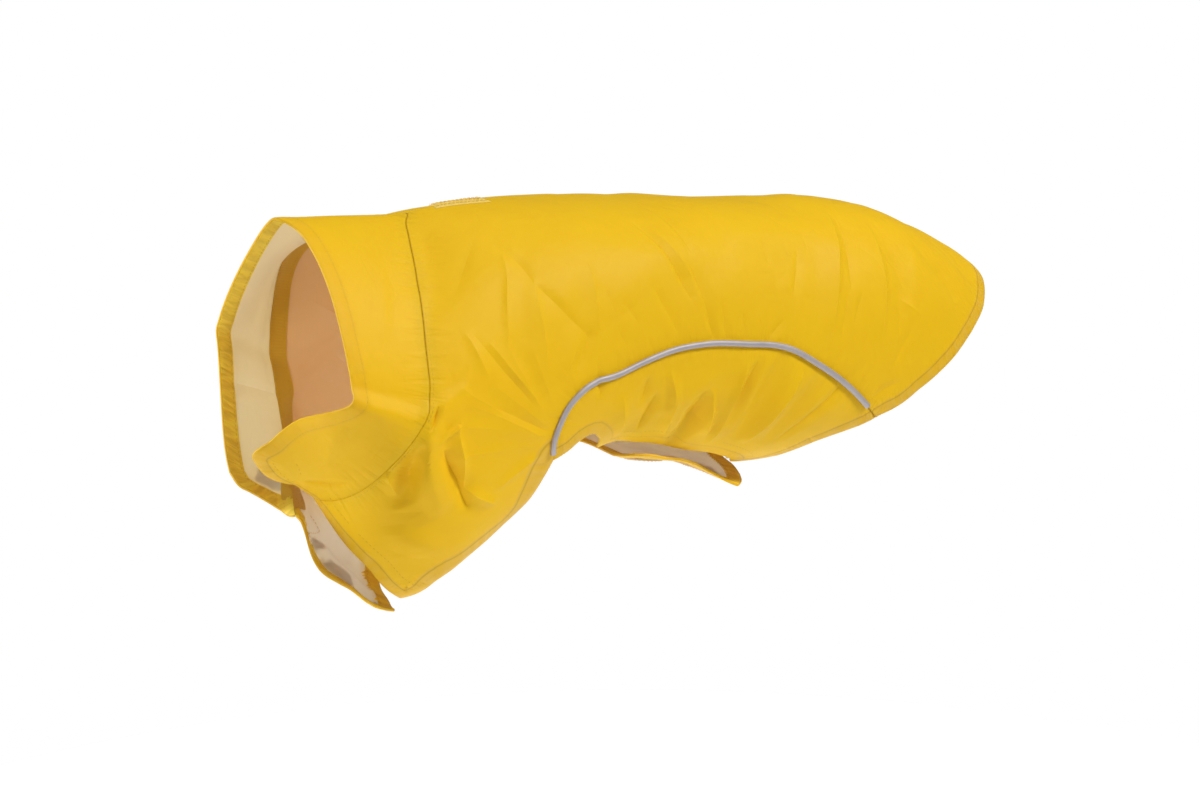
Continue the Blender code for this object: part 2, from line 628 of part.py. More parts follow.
def build_raincoat():
    form = Form()
    half_gap = SEAM_GAP / 2

    # the cut edges, each running so that its cloth lies on the left of the way it runs
    front_left = hem_edge(CHEST_FRONT_LEFT)
    chest_hem_left = hem_edge(CHEST_HEM_LEFT)
    seam_left = smooth_edge(mirrored(SIDE_SEAM))
    tail_left = smooth_edge(mirrored(TAIL_HEM))
    tail_right = smooth_edge(backwards(TAIL_HEM))
    seam_right = smooth_edge(backwards(SIDE_SEAM))
    chest_hem_right = hem_edge(backwards(CHEST_HEM_RIGHT))
    front_right = hem_edge(backwards(CHEST_FRONT_RIGHT))
    chest_left_run = join_edges(front_left, chest_hem_left)
    chest_right_run = join_edges(chest_hem_right, front_right)
    tail_run = join_edges(tail_left, tail_right)
    belly_left_run = join_edges(hem_edge(ARMHOLE_LEFT), hem_edge(BELLY_EDGE_LEFT),
                                hem_edge(BELLY_HEM_LEFT))
    belly_right_run = join_edges(hem_edge(backwards(BELLY_HEM_RIGHT)),
                                 hem_edge(backwards(BELLY_EDGE_RIGHT)),
                                 hem_edge(backwards(ARMHOLE_RIGHT)))
    collar_run = join_edges(smooth_edge(COLLAR_END_RIGHT, COLLAR_END_STEP),
                            hem_edge(COLLAR_FRONT),
                            smooth_edge(COLLAR_END_LEFT, COLLAR_END_STEP))
    collar_seam = np.linspace(front_left[0, 1], front_right[-1, 1], SEAM_FACETS + 1)
    tape_run = np.stack([np.zeros(SEAM_FACETS - 3), collar_seam[2:-2]], axis=1)

    # hook and loop strips, and hems, as closed loops of places
    edges = {
        "chest_left": smooth_edge(CHEST_FRONT_LEFT),
        "chest_right": smooth_edge(backwards(CHEST_FRONT_RIGHT)),
        "belly_left": smooth_edge(BELLY_EDGE_LEFT),
        "belly_right": smooth_edge(backwards(BELLY_EDGE_RIGHT)),
        "collar_left": smooth_edge(COLLAR_END_LEFT),
        "collar_right": smooth_edge(COLLAR_END_RIGHT),
    }
    strips = {}
    for strip in STRIPS:
        run = part_of(edges[strip.edge], strip.start, strip.end)
        strips[strip.name] = strip_loop(form, run, strip.margin, strip.margin + HOOK_WIDTH)
    hems = {
        "hem_collar": collar_run, "hem_chest_left": chest_left_run,
        "hem_chest_right": chest_right_run, "hem_side_left": belly_left_run,
        "hem_side_right": belly_right_run, "hem_tail": tail_run,
    }
    hems = {name: strip_loop(form, trimmed(run), 0.0, HEM_WIDTH) for name, run in hems.items()}

    def lines_of(*names):
        loops = [hems[name] if name in hems else strips[name] for name in names]
        return [closed_run(loop) for loop in loops]

    # back panel, with the leash slot cut in it
    seam_row = np.stack([np.full(len(collar_seam), half_gap), collar_seam[::-1]], axis=1)
    back_outline = np.concatenate([
        chest_left_run[1:-1], inset(form, seam_left, half_gap), tail_run[1:-1],
        inset(form, seam_right, half_gap), chest_right_run[1:-1], seam_row,
    ])
    slot = box_run(SLOT_MIDDLE, SLOT_LENGTH, SLOT_WIDTH, MESH_STEP)
    welt = box_run(SLOT_MIDDLE, SLOT_LENGTH + 2 * WELT_BORDER, SLOT_WIDTH + 2 * WELT_BORDER,
                   WELT_STEP)
    slit = box_run(SLOT_MIDDLE, SLOT_LENGTH - 2 * WELT_LIP_END, WELT_LIP_GAP, MESH_STEP)
    back_cloth = cut_cloth(back_outline, lines_of(
        "hem_chest_left", "hem_chest_right", "hem_tail", "hook_chest_upper",
        "hook_chest_lower", "loop_chest_upper", "loop_chest_lower",
    ) + [tape_run + (TAPE_WIDTH / 2, 0.0), closed_run(welt)], (slot,))
    shell(form, "back_panel", back_cloth, 0.0, -WALL, CLOTH_YELLOW)
    shell(form, "leash_welt", cut_cloth(welt, (closed_run(slot),), (slit,)),
          LAY_GAP + WELT_WALL, LAY_GAP, HEM_YELLOW)

    # side panels
    left_outline = np.concatenate([
        belly_left_run[1:-1], inset(form, seam_left[::-1], half_gap),
    ])
    left_cloth = cut_cloth(left_outline, lines_of(
        "hem_side_left", "hook_belly_front", "hook_belly_rear"))
    shell(form, "side_panel_left", left_cloth, 0.0, -WALL, CLOTH_YELLOW)
    right_outline = np.concatenate([
        belly_right_run[1:-1], inset(form, seam_right[::-1], half_gap),
    ])
    right_cloth = cut_cloth(right_outline, lines_of(
        "hem_side_right", "loop_belly_front", "loop_belly_rear"))
    shell(form, "side_panel_right", right_cloth, 0.0, -WALL, CLOTH_YELLOW)

    # collar
    collar_row = np.stack([np.full(len(collar_seam), -half_gap), collar_seam], axis=1)
    collar_outline = np.concatenate([collar_row, collar_run[1:-1]])
    collar_cloth = cut_cloth(collar_outline, lines_of(
        "hem_collar", "hook_collar", "loop_collar") + [tape_run - (TAPE_WIDTH / 2, 0.0)])
    shell(form, "collar", collar_cloth, 0.0, -WALL, CLOTH_YELLOW)

    # hems turned to the inside, and the tape over the collar seam
    hem_top = -(WALL + LAY_GAP)
    hem_bottom = hem_top - HEM_WALL
    for name, cloth in (
        ("hem_collar", collar_cloth), ("hem_chest_left", back_cloth),
        ("hem_chest_right", back_cloth), ("hem_tail", back_cloth),
        ("hem_side_left", left_cloth), ("hem_side_right", right_cloth),
    ):
        shell(form, name, patch(cloth, hems[name]), hem_top, hem_bottom, HEM_YELLOW)
    shell(form, "collar_seam_tape", seam_tape(collar_cloth, back_cloth, tape_run), hem_top,
          hem_top - TAPE_WALL, HEM_YELLOW)

    # piping on the side seams
    piping(form, "piping_left", trimmed(seam_left, PIPING_FRONT_END, PIPING_REAR_END))
    piping(form, "piping_right", trimmed(seam_right, PIPING_REAR_END, PIPING_FRONT_END))

    # hook and loop strips, each on the panel whose edge it lies along
    cloths = {
        "chest_left": back_cloth, "chest_right": back_cloth, "belly_left": left_cloth,
        "belly_right": right_cloth, "collar_left": collar_cloth, "collar_right": collar_cloth,
    }
    for strip in STRIPS:
        if strip.edge.endswith("right"):
            top = LAY_GAP + HOOK_WALL
        elif strip.margin < HEM_WIDTH:
            top = hem_bottom - SEAM_GAP
        else:
            top = hem_top
        shell(form, strip.name, patch(cloths[strip.edge], strips[strip.name]), top,
              top - HOOK_WALL, STRIP_CREAM, STRIP_ROUGHNESS)


clear_scene()
build_raincoat()
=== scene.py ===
"""A dog's raincoat in yellow coated cloth, filled out as if worn, on a pale studio floor."""
from collections import namedtuple

import bpy
import numpy as np
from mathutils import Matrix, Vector
from mathutils.geometry import delaunay_2d_cdt


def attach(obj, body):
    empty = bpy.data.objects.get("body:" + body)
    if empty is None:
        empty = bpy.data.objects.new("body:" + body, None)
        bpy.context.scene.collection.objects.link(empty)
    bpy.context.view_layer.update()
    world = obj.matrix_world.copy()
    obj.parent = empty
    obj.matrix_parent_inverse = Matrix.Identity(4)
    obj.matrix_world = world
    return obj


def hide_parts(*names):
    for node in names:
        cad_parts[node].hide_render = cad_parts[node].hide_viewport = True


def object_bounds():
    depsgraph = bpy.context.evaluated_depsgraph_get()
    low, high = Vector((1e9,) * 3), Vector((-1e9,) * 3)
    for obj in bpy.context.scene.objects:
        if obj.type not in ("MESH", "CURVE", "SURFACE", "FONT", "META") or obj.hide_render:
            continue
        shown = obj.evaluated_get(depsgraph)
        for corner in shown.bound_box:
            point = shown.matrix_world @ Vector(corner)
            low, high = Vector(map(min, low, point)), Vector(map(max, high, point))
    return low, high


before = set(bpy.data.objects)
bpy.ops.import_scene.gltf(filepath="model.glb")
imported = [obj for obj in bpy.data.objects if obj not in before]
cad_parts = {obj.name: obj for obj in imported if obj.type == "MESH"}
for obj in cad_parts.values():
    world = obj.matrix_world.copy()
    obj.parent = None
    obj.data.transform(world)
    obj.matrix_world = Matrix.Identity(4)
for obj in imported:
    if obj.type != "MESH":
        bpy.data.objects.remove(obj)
cad_low, cad_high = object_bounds()


# ---------------------------------------------------------------- studio
# A disc of white paper well below the coat, in white surroundings. A strong soft light stands
# high on the coat's left side, with weak ones above it and in front of it. One on the far side,
# by the neck, shines through the cloth. The lens is long, and a little above the coat.

class Shade:
    """One output of a material's nodes; plain arithmetic on it adds Math nodes."""

    def __init__(self, recipe, socket):
        self.recipe = recipe
        self.socket = socket

    def math(self, operation, *values):
        inputs = dict(enumerate(values))
        return self.recipe.node("ShaderNodeMath", {"operation": operation}, inputs)

    def __add__(self, other):
        return self.math("ADD", self, other)

    def __radd__(self, other):
        return self.math("ADD", other, self)

    def __sub__(self, other):
        return self.math("SUBTRACT", self, other)

    def __rsub__(self, other):
        return self.math("SUBTRACT", other, self)

    def __mul__(self, other):
        return self.math("MULTIPLY", self, other)

    def __rmul__(self, other):
        return self.math("MULTIPLY", other, self)

    def __truediv__(self, other):
        return self.math("DIVIDE", self, other)

    def __pow__(self, other):
        return self.math("POWER", self, other)


class Recipe:
    """A Principled material whose nodes are added one by one."""

    def __init__(self, name, roughness, **plain):
        self.material = bpy.data.materials.new(name)
        self.material.use_nodes = True
        self.nodes = self.material.node_tree.nodes
        self.links = self.material.node_tree.links
        self.shader = self.nodes["Principled BSDF"]
        self.shader.inputs["Roughness"].default_value = roughness
        for socket, value in plain.items():
            self.shader.inputs[socket.replace("_", " ")].default_value = value

    def node(self, kind, settings=None, inputs=None, out=0):
        made = self.nodes.new(kind)
        for key, value in (settings or {}).items():
            if key == "stops":
                ramp = made.color_ramp
                while len(ramp.elements) < len(value):
                    ramp.elements.new(0.5)
                for element, (position, colour) in zip(ramp.elements, value):
                    element.position = position
                    element.color = (*colour, 1.0)
            else:
                setattr(made, key, value)
        for key, value in (inputs or {}).items():
            if isinstance(value, Shade):
                self.links.new(value.socket, made.inputs[key])
            else:
                made.inputs[key].default_value = value
        return Shade(self, made.outputs[out])

    def feed(self, socket, value):
        self.links.new(value.socket, self.shader.inputs[socket])

    def relief(self, height):
        """Height in metres, read as the small form of the surface."""
        bump = self.node("ShaderNodeBump", None, {"Strength": 1.0, "Distance": 1.0,
                                                  "Height": height})
        self.feed("Normal", bump)

    def noise(self, vector, scale, detail=2.0, distortion=0.0):
        return self.node("ShaderNodeTexNoise", None, {
            "Vector": vector, "Scale": scale, "Detail": detail, "Distortion": distortion})

    def tone(self, factor, first, second):
        """A colour between two, each of them three numbers or an output."""
        pair = [one if isinstance(one, Shade) else (*one, 1.0) for one in (first, second)]
        return self.node("ShaderNodeMix", {"data_type": "RGBA"}, {
            0: factor, 6: pair[0], 7: pair[1]}, out=2)

    def clamp(self, value):
        return self.node("ShaderNodeClamp", None, {0: value})

    def bell(self, away, reach):
        """1 where away is 0, and soon nothing where it is more than its reach."""
        return self.node("ShaderNodeMath", {"operation": "EXPONENT"}, {
            0: (-1.0) * (away / reach) ** 2.0})

    def attribute(self, name):
        return self.node("ShaderNodeAttribute", {"attribute_name": name}, out=2)

    def cloth_places(self):
        return self.node("ShaderNodeUVMap", {"uv_map": "cloth"})


FLOOR_DROP = 0.30         # metres, from the coat's lowest point
FLOOR_RADIUS = 0.75
FLOOR_SIDES = 96
FLOOR_GLOW = 0.5
PAPER_WHITE = (0.93, 0.93, 0.93)
PAPER_SHADE = (0.90, 0.90, 0.90)


def build_floor():
    base = cad_low[2] - FLOOR_DROP
    turns = np.linspace(0.0, 2 * np.pi, FLOOR_SIDES, endpoint=False)
    corners = [(np.cos(turn) * FLOOR_RADIUS, np.sin(turn) * FLOOR_RADIUS, base)
               for turn in turns]
    mesh = bpy.data.meshes.new("floor")
    mesh.from_pydata(corners, [], [tuple(range(FLOOR_SIDES))])
    floor = bpy.data.objects.new("floor", mesh)
    bpy.context.scene.collection.objects.link(floor)
    paper = Recipe("floor_paper", 0.9, Emission_Color=(1.0, 1.0, 1.0, 1.0),
                   Emission_Strength=FLOOR_GLOW)
    grain = paper.noise(paper.node("ShaderNodeTexCoord", None, None, out=3), 6.0)
    paper.feed("Base Color", paper.tone(grain, PAPER_SHADE, PAPER_WHITE))
    mesh.materials.append(paper.material)


build_floor()

SoftLight = namedtuple("SoftLight", "name place target width depth power")
SOFT_LIGHTS = (
    SoftLight("key_light", (1.15, -2.10, 2.10), (0.0, 0.0, -0.08), 0.65, 0.65, 82.5),
    SoftLight("top_light", (0.0, 0.2, 1.9), (0.0, 0.0, -0.08), 1.2, 0.8, 5.0),
    SoftLight("front_light", (-1.9, -0.9, 0.3), (0.0, 0.0, -0.08), 0.8, 0.8, 10.5),
    SoftLight("back_light", (-1.4, 1.4, 0.1), (-0.10, 0.0, -0.08), 1.0, 1.0, 32.0),
)
for soft_light in SOFT_LIGHTS:
    light = bpy.data.lights.new(soft_light.name, "AREA")
    light.shape = "RECTANGLE"
    light.size = soft_light.width
    light.size_y = soft_light.depth
    light.energy = soft_light.power
    lamp = bpy.data.objects.new(soft_light.name, light)
    lamp.location = soft_light.place
    way = Vector(soft_light.target) - Vector(soft_light.place)
    lamp.rotation_euler = way.to_track_quat("-Z", "Y").to_euler()
    bpy.context.scene.collection.objects.link(lamp)

SURROUNDINGS_SEEN = 1.0   # strength of the white surroundings as the camera sees them
SURROUNDINGS_LIGHT = 0.16  # and as they light the coat

world = bpy.data.worlds.new("studio")
world.use_nodes = True
sky = world.node_tree.nodes["Background"]
sky.inputs["Color"].default_value = (1.0, 1.0, 1.0, 1.0)
ray = world.node_tree.nodes.new("ShaderNodeLightPath")
seen = world.node_tree.nodes.new("ShaderNodeMath")
seen.operation = "MULTIPLY_ADD"
seen.inputs[1].default_value = SURROUNDINGS_SEEN - SURROUNDINGS_LIGHT
seen.inputs[2].default_value = SURROUNDINGS_LIGHT
world.node_tree.links.new(ray.outputs["Is Camera Ray"], seen.inputs[0])
world.node_tree.links.new(seen.outputs[0], sky.inputs["Strength"])
bpy.context.scene.world = world
bpy.context.scene.view_settings.view_transform = "Standard"

LENS = 90.0               # millimetres, as is the sensor
SENSOR_WIDTH = 36.0
CAMERA_PLACE = (-1.174, -1.620, 0.214)
CAMERA_TURN = -35.0       # degrees from looking along +Y
CAMERA_DIP = 10.0         # degrees below level

camera_data = bpy.data.cameras.new("camera")
camera_data.lens = LENS
camera_data.sensor_width = SENSOR_WIDTH
camera = bpy.data.objects.new("camera", camera_data)
camera.location = CAMERA_PLACE
camera.rotation_euler = (np.radians(90.0 - CAMERA_DIP), 0.0, np.radians(CAMERA_TURN))
bpy.context.scene.collection.objects.link(camera)
bpy.context.scene.camera = camera


# ---------------------------------------------------------------- back panel
# One large piece of coated cloth from the collar seam to the tail, whose wings reach down to the
# breast. Its free edges are turned to the inside and stitched; a leash slot is cut in it.
# Sizes are in millimetres: along from the collar seam, round from the middle of the back.
MM = 0.001
CLOTH = 0.8
HEM_DEPTH = 1.9           # the cloth and what is turned in behind it
HEM_WIDTH = 10.0
SEAM_GAP = 0.2
SLOT_LENGTH = 30.0        # leash slot
SLOT_WIDTH = 4.6
SLOT_MIDDLE = 40.0
COLLAR_TOP = 80.0         # from the seam to the collar's front edge, at the nape
TAIL_END = 484.0
ORIGIN_ALONG = 190.0      # the part's origin is on the inner face of the back here,
PART_WALL = 1.2           # so far under the coat's outer surface
FACET = 2.7               # size of the cloth's facets

# Rings round the coat: the places of their top and their lowest point, half their width, the
# share of the way down where they are widest, how square they are above and below that, and how
# far their lowest point leans to the head.
Ring = namedtuple("Ring", "along x_top z_top x_low z_low half_width widest upper lower lean")
BODY_RINGS = (
    Ring(0, 0, 0, -66, -178, 79, 0.60, 1.5, 1.9, 0),
    Ring(40, 40, 3, -48, -222, 83, 0.52, 2.0, 2.0, 0),
    Ring(80, 80, 4, -12, -248, 85, 0.43, 2.3, 2.0, 0),
    Ring(130, 130, 3, 106, -172, 85, 0.48, 2.3, 2.2, 0),
    Ring(190, 190, 1, 172, -172, 85, 0.47, 2.4, 2.3, 0),
    Ring(260, 259, -4, 248, -186, 85, 0.50, 2.4, 2.3, 0),
    Ring(330, 329, -8, 325, -190, 82, 0.50, 2.4, 2.3, 0),
    Ring(400, 396, -26, 400, -192, 75, 0.50, 2.3, 2.2, 0),
    Ring(450, 440, -48, 450, -190, 62, 0.50, 2.2, 2.1, 0),
    Ring(500, 481, -73, 500, -190, 48, 0.50, 2.1, 2.1, 0),
)
COLLAR_LEFT = Ring(-COLLAR_TOP, -86, 4, -82, -140, 75, 0.72, 1.6, 1.15, 22)
COLLAR_RIGHT = Ring(-COLLAR_TOP, -86, 4, -96, -170, 76, 0.46, 1.15, 3.0, 14)
# The right side hangs open: the place of its free edge, and how far that stands out
Droop = namedtuple("Droop", "along edge stand_out")
RIGHT_DROOP = (
    Droop(-90, 215, 4), Droop(-76, 219, 6), Droop(-60, 228, 9), Droop(-40, 233, 13),
    Droop(-20, 240, 16), Droop(0, 256, 15), Droop(11, 278, 17), Droop(22, 302, 19),
    Droop(38, 336, 17), Droop(50, 353, 13), Droop(63, 367, 10), Droop(75, 370, 7),
    Droop(95, 355, 5), Droop(120, 325, 5), Droop(145, 312, 6), Droop(162, 318, 8),
    Droop(182, 325, 9), Droop(217, 323, 9), Droop(235, 321, 12), Droop(250, 319, 17),
    Droop(262, 312, 15), Droop(285, 300, 6), Droop(310, 300, 0), Droop(500, 300, 0),
)
DROOP_REACH = 65.0        # the cloth begins to stand out so far before the edge,
DROOP_PAST = 1.2          # and past it goes on to this share

# The right shoulder is rounder than the left one: how far it stands out
Swell = namedtuple("Swell", "along stand_out")
RIGHT_SHOULDER = (
    Swell(-100, 0), Swell(-80, 0), Swell(-40, 21), Swell(0, 38), Swell(35, 27), Swell(70, 10),
    Swell(110, 0), Swell(500, 0),
)
SHOULDER_MIDDLE = 87.0
SHOULDER_REACH = 78.0

# The collar seam isn't straight: how far back it lies
Bend = namedtuple("Bend", "round along")
SEAM_BENDS = (
    Bend(-400, 0), Bend(-215, 0), Bend(-188, 2), Bend(-168, 5), Bend(-152, 7), Bend(-137, 5),
    Bend(-122, 1), Bend(-105, -3), Bend(-85, -6), Bend(-57, -8), Bend(-30, -8), Bend(-12, -5),
    Bend(-3, 0), Bend(18, 0), Bend(40, -5), Bend(65, -11), Bend(90, -14), Bend(115, -14),
    Bend(135, -12), Bend(150, -8), Bend(170, -1), Bend(190, 3), Bend(210, 3), Bend(235, 0),
    Bend(400, 0),
)
SEAM_BEND_REACH = 40.0

# The right flap's free edge stands away from the body, and the flap is hollow beside it. Both
# fade out before and behind one stretch of the edge. Its places are (along, round).
FLARE_EDGE = ((-40, 233), (0, 256), (22, 302), (38, 336), (50, 353), (63, 366), (76, 380))
FLARE_OUT, FLARE_REACH = 0.5, 11.0
HOLLOW_IN, HOLLOW_AWAY, HOLLOW_REACH = 5.5, 30.0, 16.0
FLARE_FROM, FLARE_FADE_IN = 40.0, 26.0
FLARE_TO, FLARE_FADE_OUT = 62.0, 14.0

# Folds, each a crest from one place to another, or a trough where its height is negative. Its
# flanks reach so far towards the head and so far towards the tail.
Fold = namedtuple("Fold", "along_1 round_1 along_2 round_2 height headward tailward")
FOLDS = (
    # collar: its left end turns up, and a crease crosses its left side
    Fold(-56, -300, -16, -282, 4, 20, 20), Fold(-130, -167, 34, -150, 5.5, 9, 60),
    Fold(-30, -262, -12, -222, -2.1, 5, 5), Fold(-34, -40, -44, -112, 0.9, 14, 10),
    Fold(-70, -186, -40, -232, 1, 12, 12),
    # left shoulder
    Fold(5, -28, 5, -84, 0.6, 3, 6), Fold(32, -42, 18, -84, -0.7, 7, 4),
    Fold(42, -54, 70, -94, -0.8, 6, 3), Fold(68, -90, 108, -135, -1.4, 7, 3),
    Fold(45, -62, 56, -132, 1.1, 2.5, 10), Fold(66, -84, 91, -172, 1.4, 12, 3),
    Fold(106, -126, 102, -158, -1.9, 6, 5), Fold(102, -132, 95, -160, 1, 9, 3),
    Fold(102, -80, 111, -132, 1, 8, 2.5), Fold(111, -98, 119, -120, -0.5, 3, 4),
    Fold(120, -106, 133, -130, -0.7, 3, 5), Fold(119, -128, 126, -142, -0.7, 3, 3),
    Fold(22, -108, 47, -147, 1.2, 3, 8), Fold(28, -112, 82, -174, -1.1, 5, 3),
    Fold(54, -127, 96, -192, 1.1, 8, 3), Fold(33, -175, 98, -199, 1, 3, 7),
    Fold(54, -168, 97, -195, -0.9, 4, 4), Fold(20, -142, 98, -202, 1, 8, 3),
    Fold(40, -120, 97, -188, 0.6, 2.5, 3), Fold(28, -156, 98, -200, 0.6, 3, 2.5),
    Fold(48, -184, 100, -204, 0.7, 2.5, 3), Fold(70, -130, 98, -186, 0.5, 2.5, 3),
    Fold(76, -112, 97, -180, 0.6, 2.5, 3), Fold(60, -196, 102, -207, 0.6, 2.5, 2.5),
    Fold(36, -198, 96, -206, 0.6, 3, 3), Fold(50, -152, 97, -193, 0.5, 2.5, 3),
    # left chest
    Fold(4, -160, 52, -242, 6.4, 7, 10), Fold(6, -176, 28, -230, -5.5, 7, 7),
    Fold(2, -197, 20, -220, 3.1, 3, 6), Fold(24, -182, 38, -174, 3.1, 3, 4),
    Fold(33, -172, 60, -228, 4.6, 8, 4), Fold(31, -188, 68, -241, -6, 6, 7),
    Fold(58, -224, 84, -243, 3.4, 5, 4), Fold(100, -204, 80, -232, 1.8, 5, 5),
    Fold(30, -250, 66, -276, 2.1, 9, 9), Fold(6, -150, 10, -168, -3.4, 4, 4),
    # down the left side of the back
    Fold(140, -50, 176, -121, -1.6, 3, 8), Fold(152, -62, 178, -106, 0.7, 9, 3),
    Fold(162, -34, 176, -84, -0.9, 3, 7), Fold(172, -88, 190, -140, -1.4, 3, 8),
    Fold(140, -97, 160, -138, -1.1, 3, 7), Fold(178, -114, 191, -141, -0.9, 3, 3),
    Fold(195, -116, 198, -138, -0.9, 3, 4), Fold(211, -122, 214, -141, -0.8, 3, 3),
    Fold(246, -128, 232, -143, -1.2, 3, 3), Fold(226, -118, 224, -138, 0.6, 5, 3),
    Fold(309, -44, 283, -142, 2.6, 19, 4), Fold(264, -78, 252, -113, -1, 3, 7),
    Fold(312, -50, 304, -112, -1.6, 4, 15), Fold(338, -52, 328, -150, 1.7, 15, 4),
    Fold(302, -108, 293, -143, -1.2, 4, 6), Fold(314, -108, 304, -133, -1, 3, 5),
    Fold(344, -110, 346, -145, -1, 6, 4), Fold(346, -110, 365, -119, 0.8, 4, 4),
    Fold(372, -62, 414, -92, -1.8, 12, 9), Fold(355, -130, 341, -158, -1.2, 7, 4),
    Fold(326, -183, 349, -167, -1.3, 4, 5), Fold(392, -60, 440, -72, 0.9, 10, 8),
    Fold(410, -150, 404, 170, -2.4, 40, 48),
    # left side panel
    Fold(194, -176, 190, -230, -6.5, 8, 7), Fold(198, -174, 208, -218, 4.5, 9, 3),
    Fold(228, -153, 215, -208, -4.9, 5, 9), Fold(219, -154, 213, -226, 3.2, 4, 7),
    Fold(247, -150, 228, -216, -4.5, 7, 9), Fold(263, -159, 238, -220, 4.1, 10, 5),
    Fold(275, -164, 252, -222, -4.1, 7, 11), Fold(298, -169, 262, -222, -2.8, 4, 6),
    Fold(114, -155, 119, -174, -2, 3, 3), Fold(144, -163, 144, -184, -2.3, 4, 4),
    Fold(157, -160, 169, -185, 2.3, 5, 4), Fold(130, -172, 139, -210, 3, 6, 4),
    Fold(152, -176, 153, -208, -3.2, 6, 5), Fold(166, -166, 177, -214, 2.7, 7, 4),
    # right side, first a crease left by folding
    Fold(-96, 112, 28, 146, 1.8, 7, 7),
    Fold(44, 60, 100, 132, -2.4, 9, 5), Fold(50, 84, 92, 168, 1.9, 12, 4),
    Fold(34, 150, 88, 190, 1.9, 9, 4), Fold(8, 168, 52, 244, 3.4, 7, 9),
    Fold(20, 112, 62, 156, -1.6, 7, 4), Fold(28, 196, 66, 244, -2.9, 7, 7),
    Fold(140, 52, 178, 116, -1.9, 4, 9), Fold(172, 88, 190, 138, 1.6, 9, 4),
    Fold(300, 46, 258, 128, -2.9, 17, 6), Fold(334, 54, 326, 130, 1.9, 14, 4),
    Fold(192, 170, 186, 220, -3.1, 9, 6), Fold(252, 166, 226, 216, -2.6, 6, 9),
    Fold(272, 164, 246, 220, 2.2, 9, 5), Fold(382, 46, 410, 92, -1.7, 10, 8),
    Fold(148, 150, 178, 200, -1.7, 6, 6), Fold(60, 210, 86, 266, -2.2, 8, 6),
    Fold(-74, 148, -6, 162, 1.7, 10, 6), Fold(214, 218, 238, 294, 2.2, 9, 7),
    Fold(184, 232, 198, 304, -1.9, 8, 6), Fold(120, 100, 134, 140, 1.2, 9, 3),
)
CRISP_REACH = 6.0         # a fold with a flank no wider than this has a crisp crest,
SOFT_CREST = 2.0          # the others are rounded over this distance
FOLD_REACH = 70.0         # nothing of a fold is left so far from its line
FOLD_END = 0.3            # share of its reach that a fold has at its very ends
FOLD_FOOT = 0.01          # softness of the bend at the foot of each flank
FOLD_SINK = 0.8           # how fast a fold sinks to its ends
FOLD_STRAY = 1.6          # a crest strays this far from its line,
STRAY_SIZE = 34.0         # in bends of this size; its facets follow it in so many rounds,
STRAY_ROUNDS = 6          # over this part of its length
CREST_PART = (0.02, 0.98)
Crumple = namedtuple("Crumple", "size height seed")
CRUMPLES = (Crumple(62, 1.3, 3), Crumple(31, 0.4, 8))
FLAT_CRUMPLES = (Crumple(34, 1.5, 5), Crumple(17, 0.6, 12))
FLAT_STRETCH = 1.7        # the flat ones are longer round the dog than along it,
FLAT_SCATTER = 0.42       # and their corners lie this share of their size off a grid
TIGHT_COLLAR = 0.72       # share of the crumples that the tight collar loses,
TIGHT_FROM = 6.0          # forwards from here,
TIGHT_OVER = 30.0         # and in full so far before it
CRUMPLE_START = (-110.0, -410.0)  # where the lumps begin, and how far they go, along and round
CRUMPLE_SPAN = (700.0, 900.0)

# The form's lattice, and how many times each of its fields is averaged
FORM_STEP = 1.5
FORM_MARGIN_HEAD = 25.0   # past the collar's edge
FORM_MARGIN_TAIL = 17.0
FORM_REACH_ROUND = 400.0
FORM_ROUNDS = 5           # the form itself
FLAP_WAY_ROUNDS = 140     # the way in which flaps stand out
FOLD_WAY_ROUNDS = 8       # the way in which folds stand out
NORMAL_ROUNDS = 4         # the folded cloth's normals


def smooth_rows(positions, knots, rows):
    """Values on a smooth curve through rows given at knots."""
    slopes = np.gradient(rows, knots, axis=0)
    index = np.clip(np.searchsorted(knots, positions, side="right") - 1, 0, len(knots) - 2)
    width = (knots[index + 1] - knots[index])[:, None]
    s = (positions - knots[index])[:, None] / width
    start = (2 * s**3 - 3 * s**2 + 1) * rows[index]
    end = (3 * s**2 - 2 * s**3) * rows[index + 1]
    leave = (s**3 - 2 * s**2 + s) * width * slopes[index]
    arrive = (s**3 - s**2) * width * slopes[index + 1]
    return start + leave + end + arrive


def ring_line(ring, reach=1.4, count=841):
    """Points down one side of a ring and on past its lowest point, with their lengths."""
    angle = np.linspace(0, reach * np.pi, count)
    sine = np.sin(angle)
    cosine = np.cos(angle)
    above = (cosine > 0) & (angle < np.pi)
    power = np.where(above, 2 / ring.upper, 2 / ring.lower)
    across = ring.half_width * np.sign(sine) * np.abs(sine)**power
    rise = np.abs(cosine)**power
    down = np.where(above, ring.widest * (1 - rise), ring.widest + (1 - ring.widest) * rise)
    points = np.stack([
        ring.x_top + (ring.x_low - ring.x_top) * down,
        across,
        ring.z_top + (ring.z_low - ring.z_top) * down,
    ], axis=1)
    points[:, 0] -= ring.lean * np.minimum(angle / np.pi, 1.0)**4
    steps = np.linalg.norm(np.diff(points, axis=0), axis=1)
    lengths = np.concatenate([[0.0], np.cumsum(steps)])
    return points, lengths, float(np.interp(np.pi, angle, lengths))


def read_line(points, lengths, at):
    return np.stack([np.interp(at, lengths, points[:, axis]) for axis in range(3)], axis=1)


def collar_edge_line(ring, at):
    """The collar's front edge at lengths in parts of its half, straight on past the middle."""
    last_stretch = 12.0
    points, lengths, half = ring_line(ring)
    found = read_line(points, lengths, np.minimum(at, 1.0) * half)
    low = read_line(points, lengths, np.array([half - last_stretch, half]))
    onward = (low[1] - low[0]) / last_stretch
    return found + np.maximum(at - 1.0, 0.0)[:, None] * half * onward


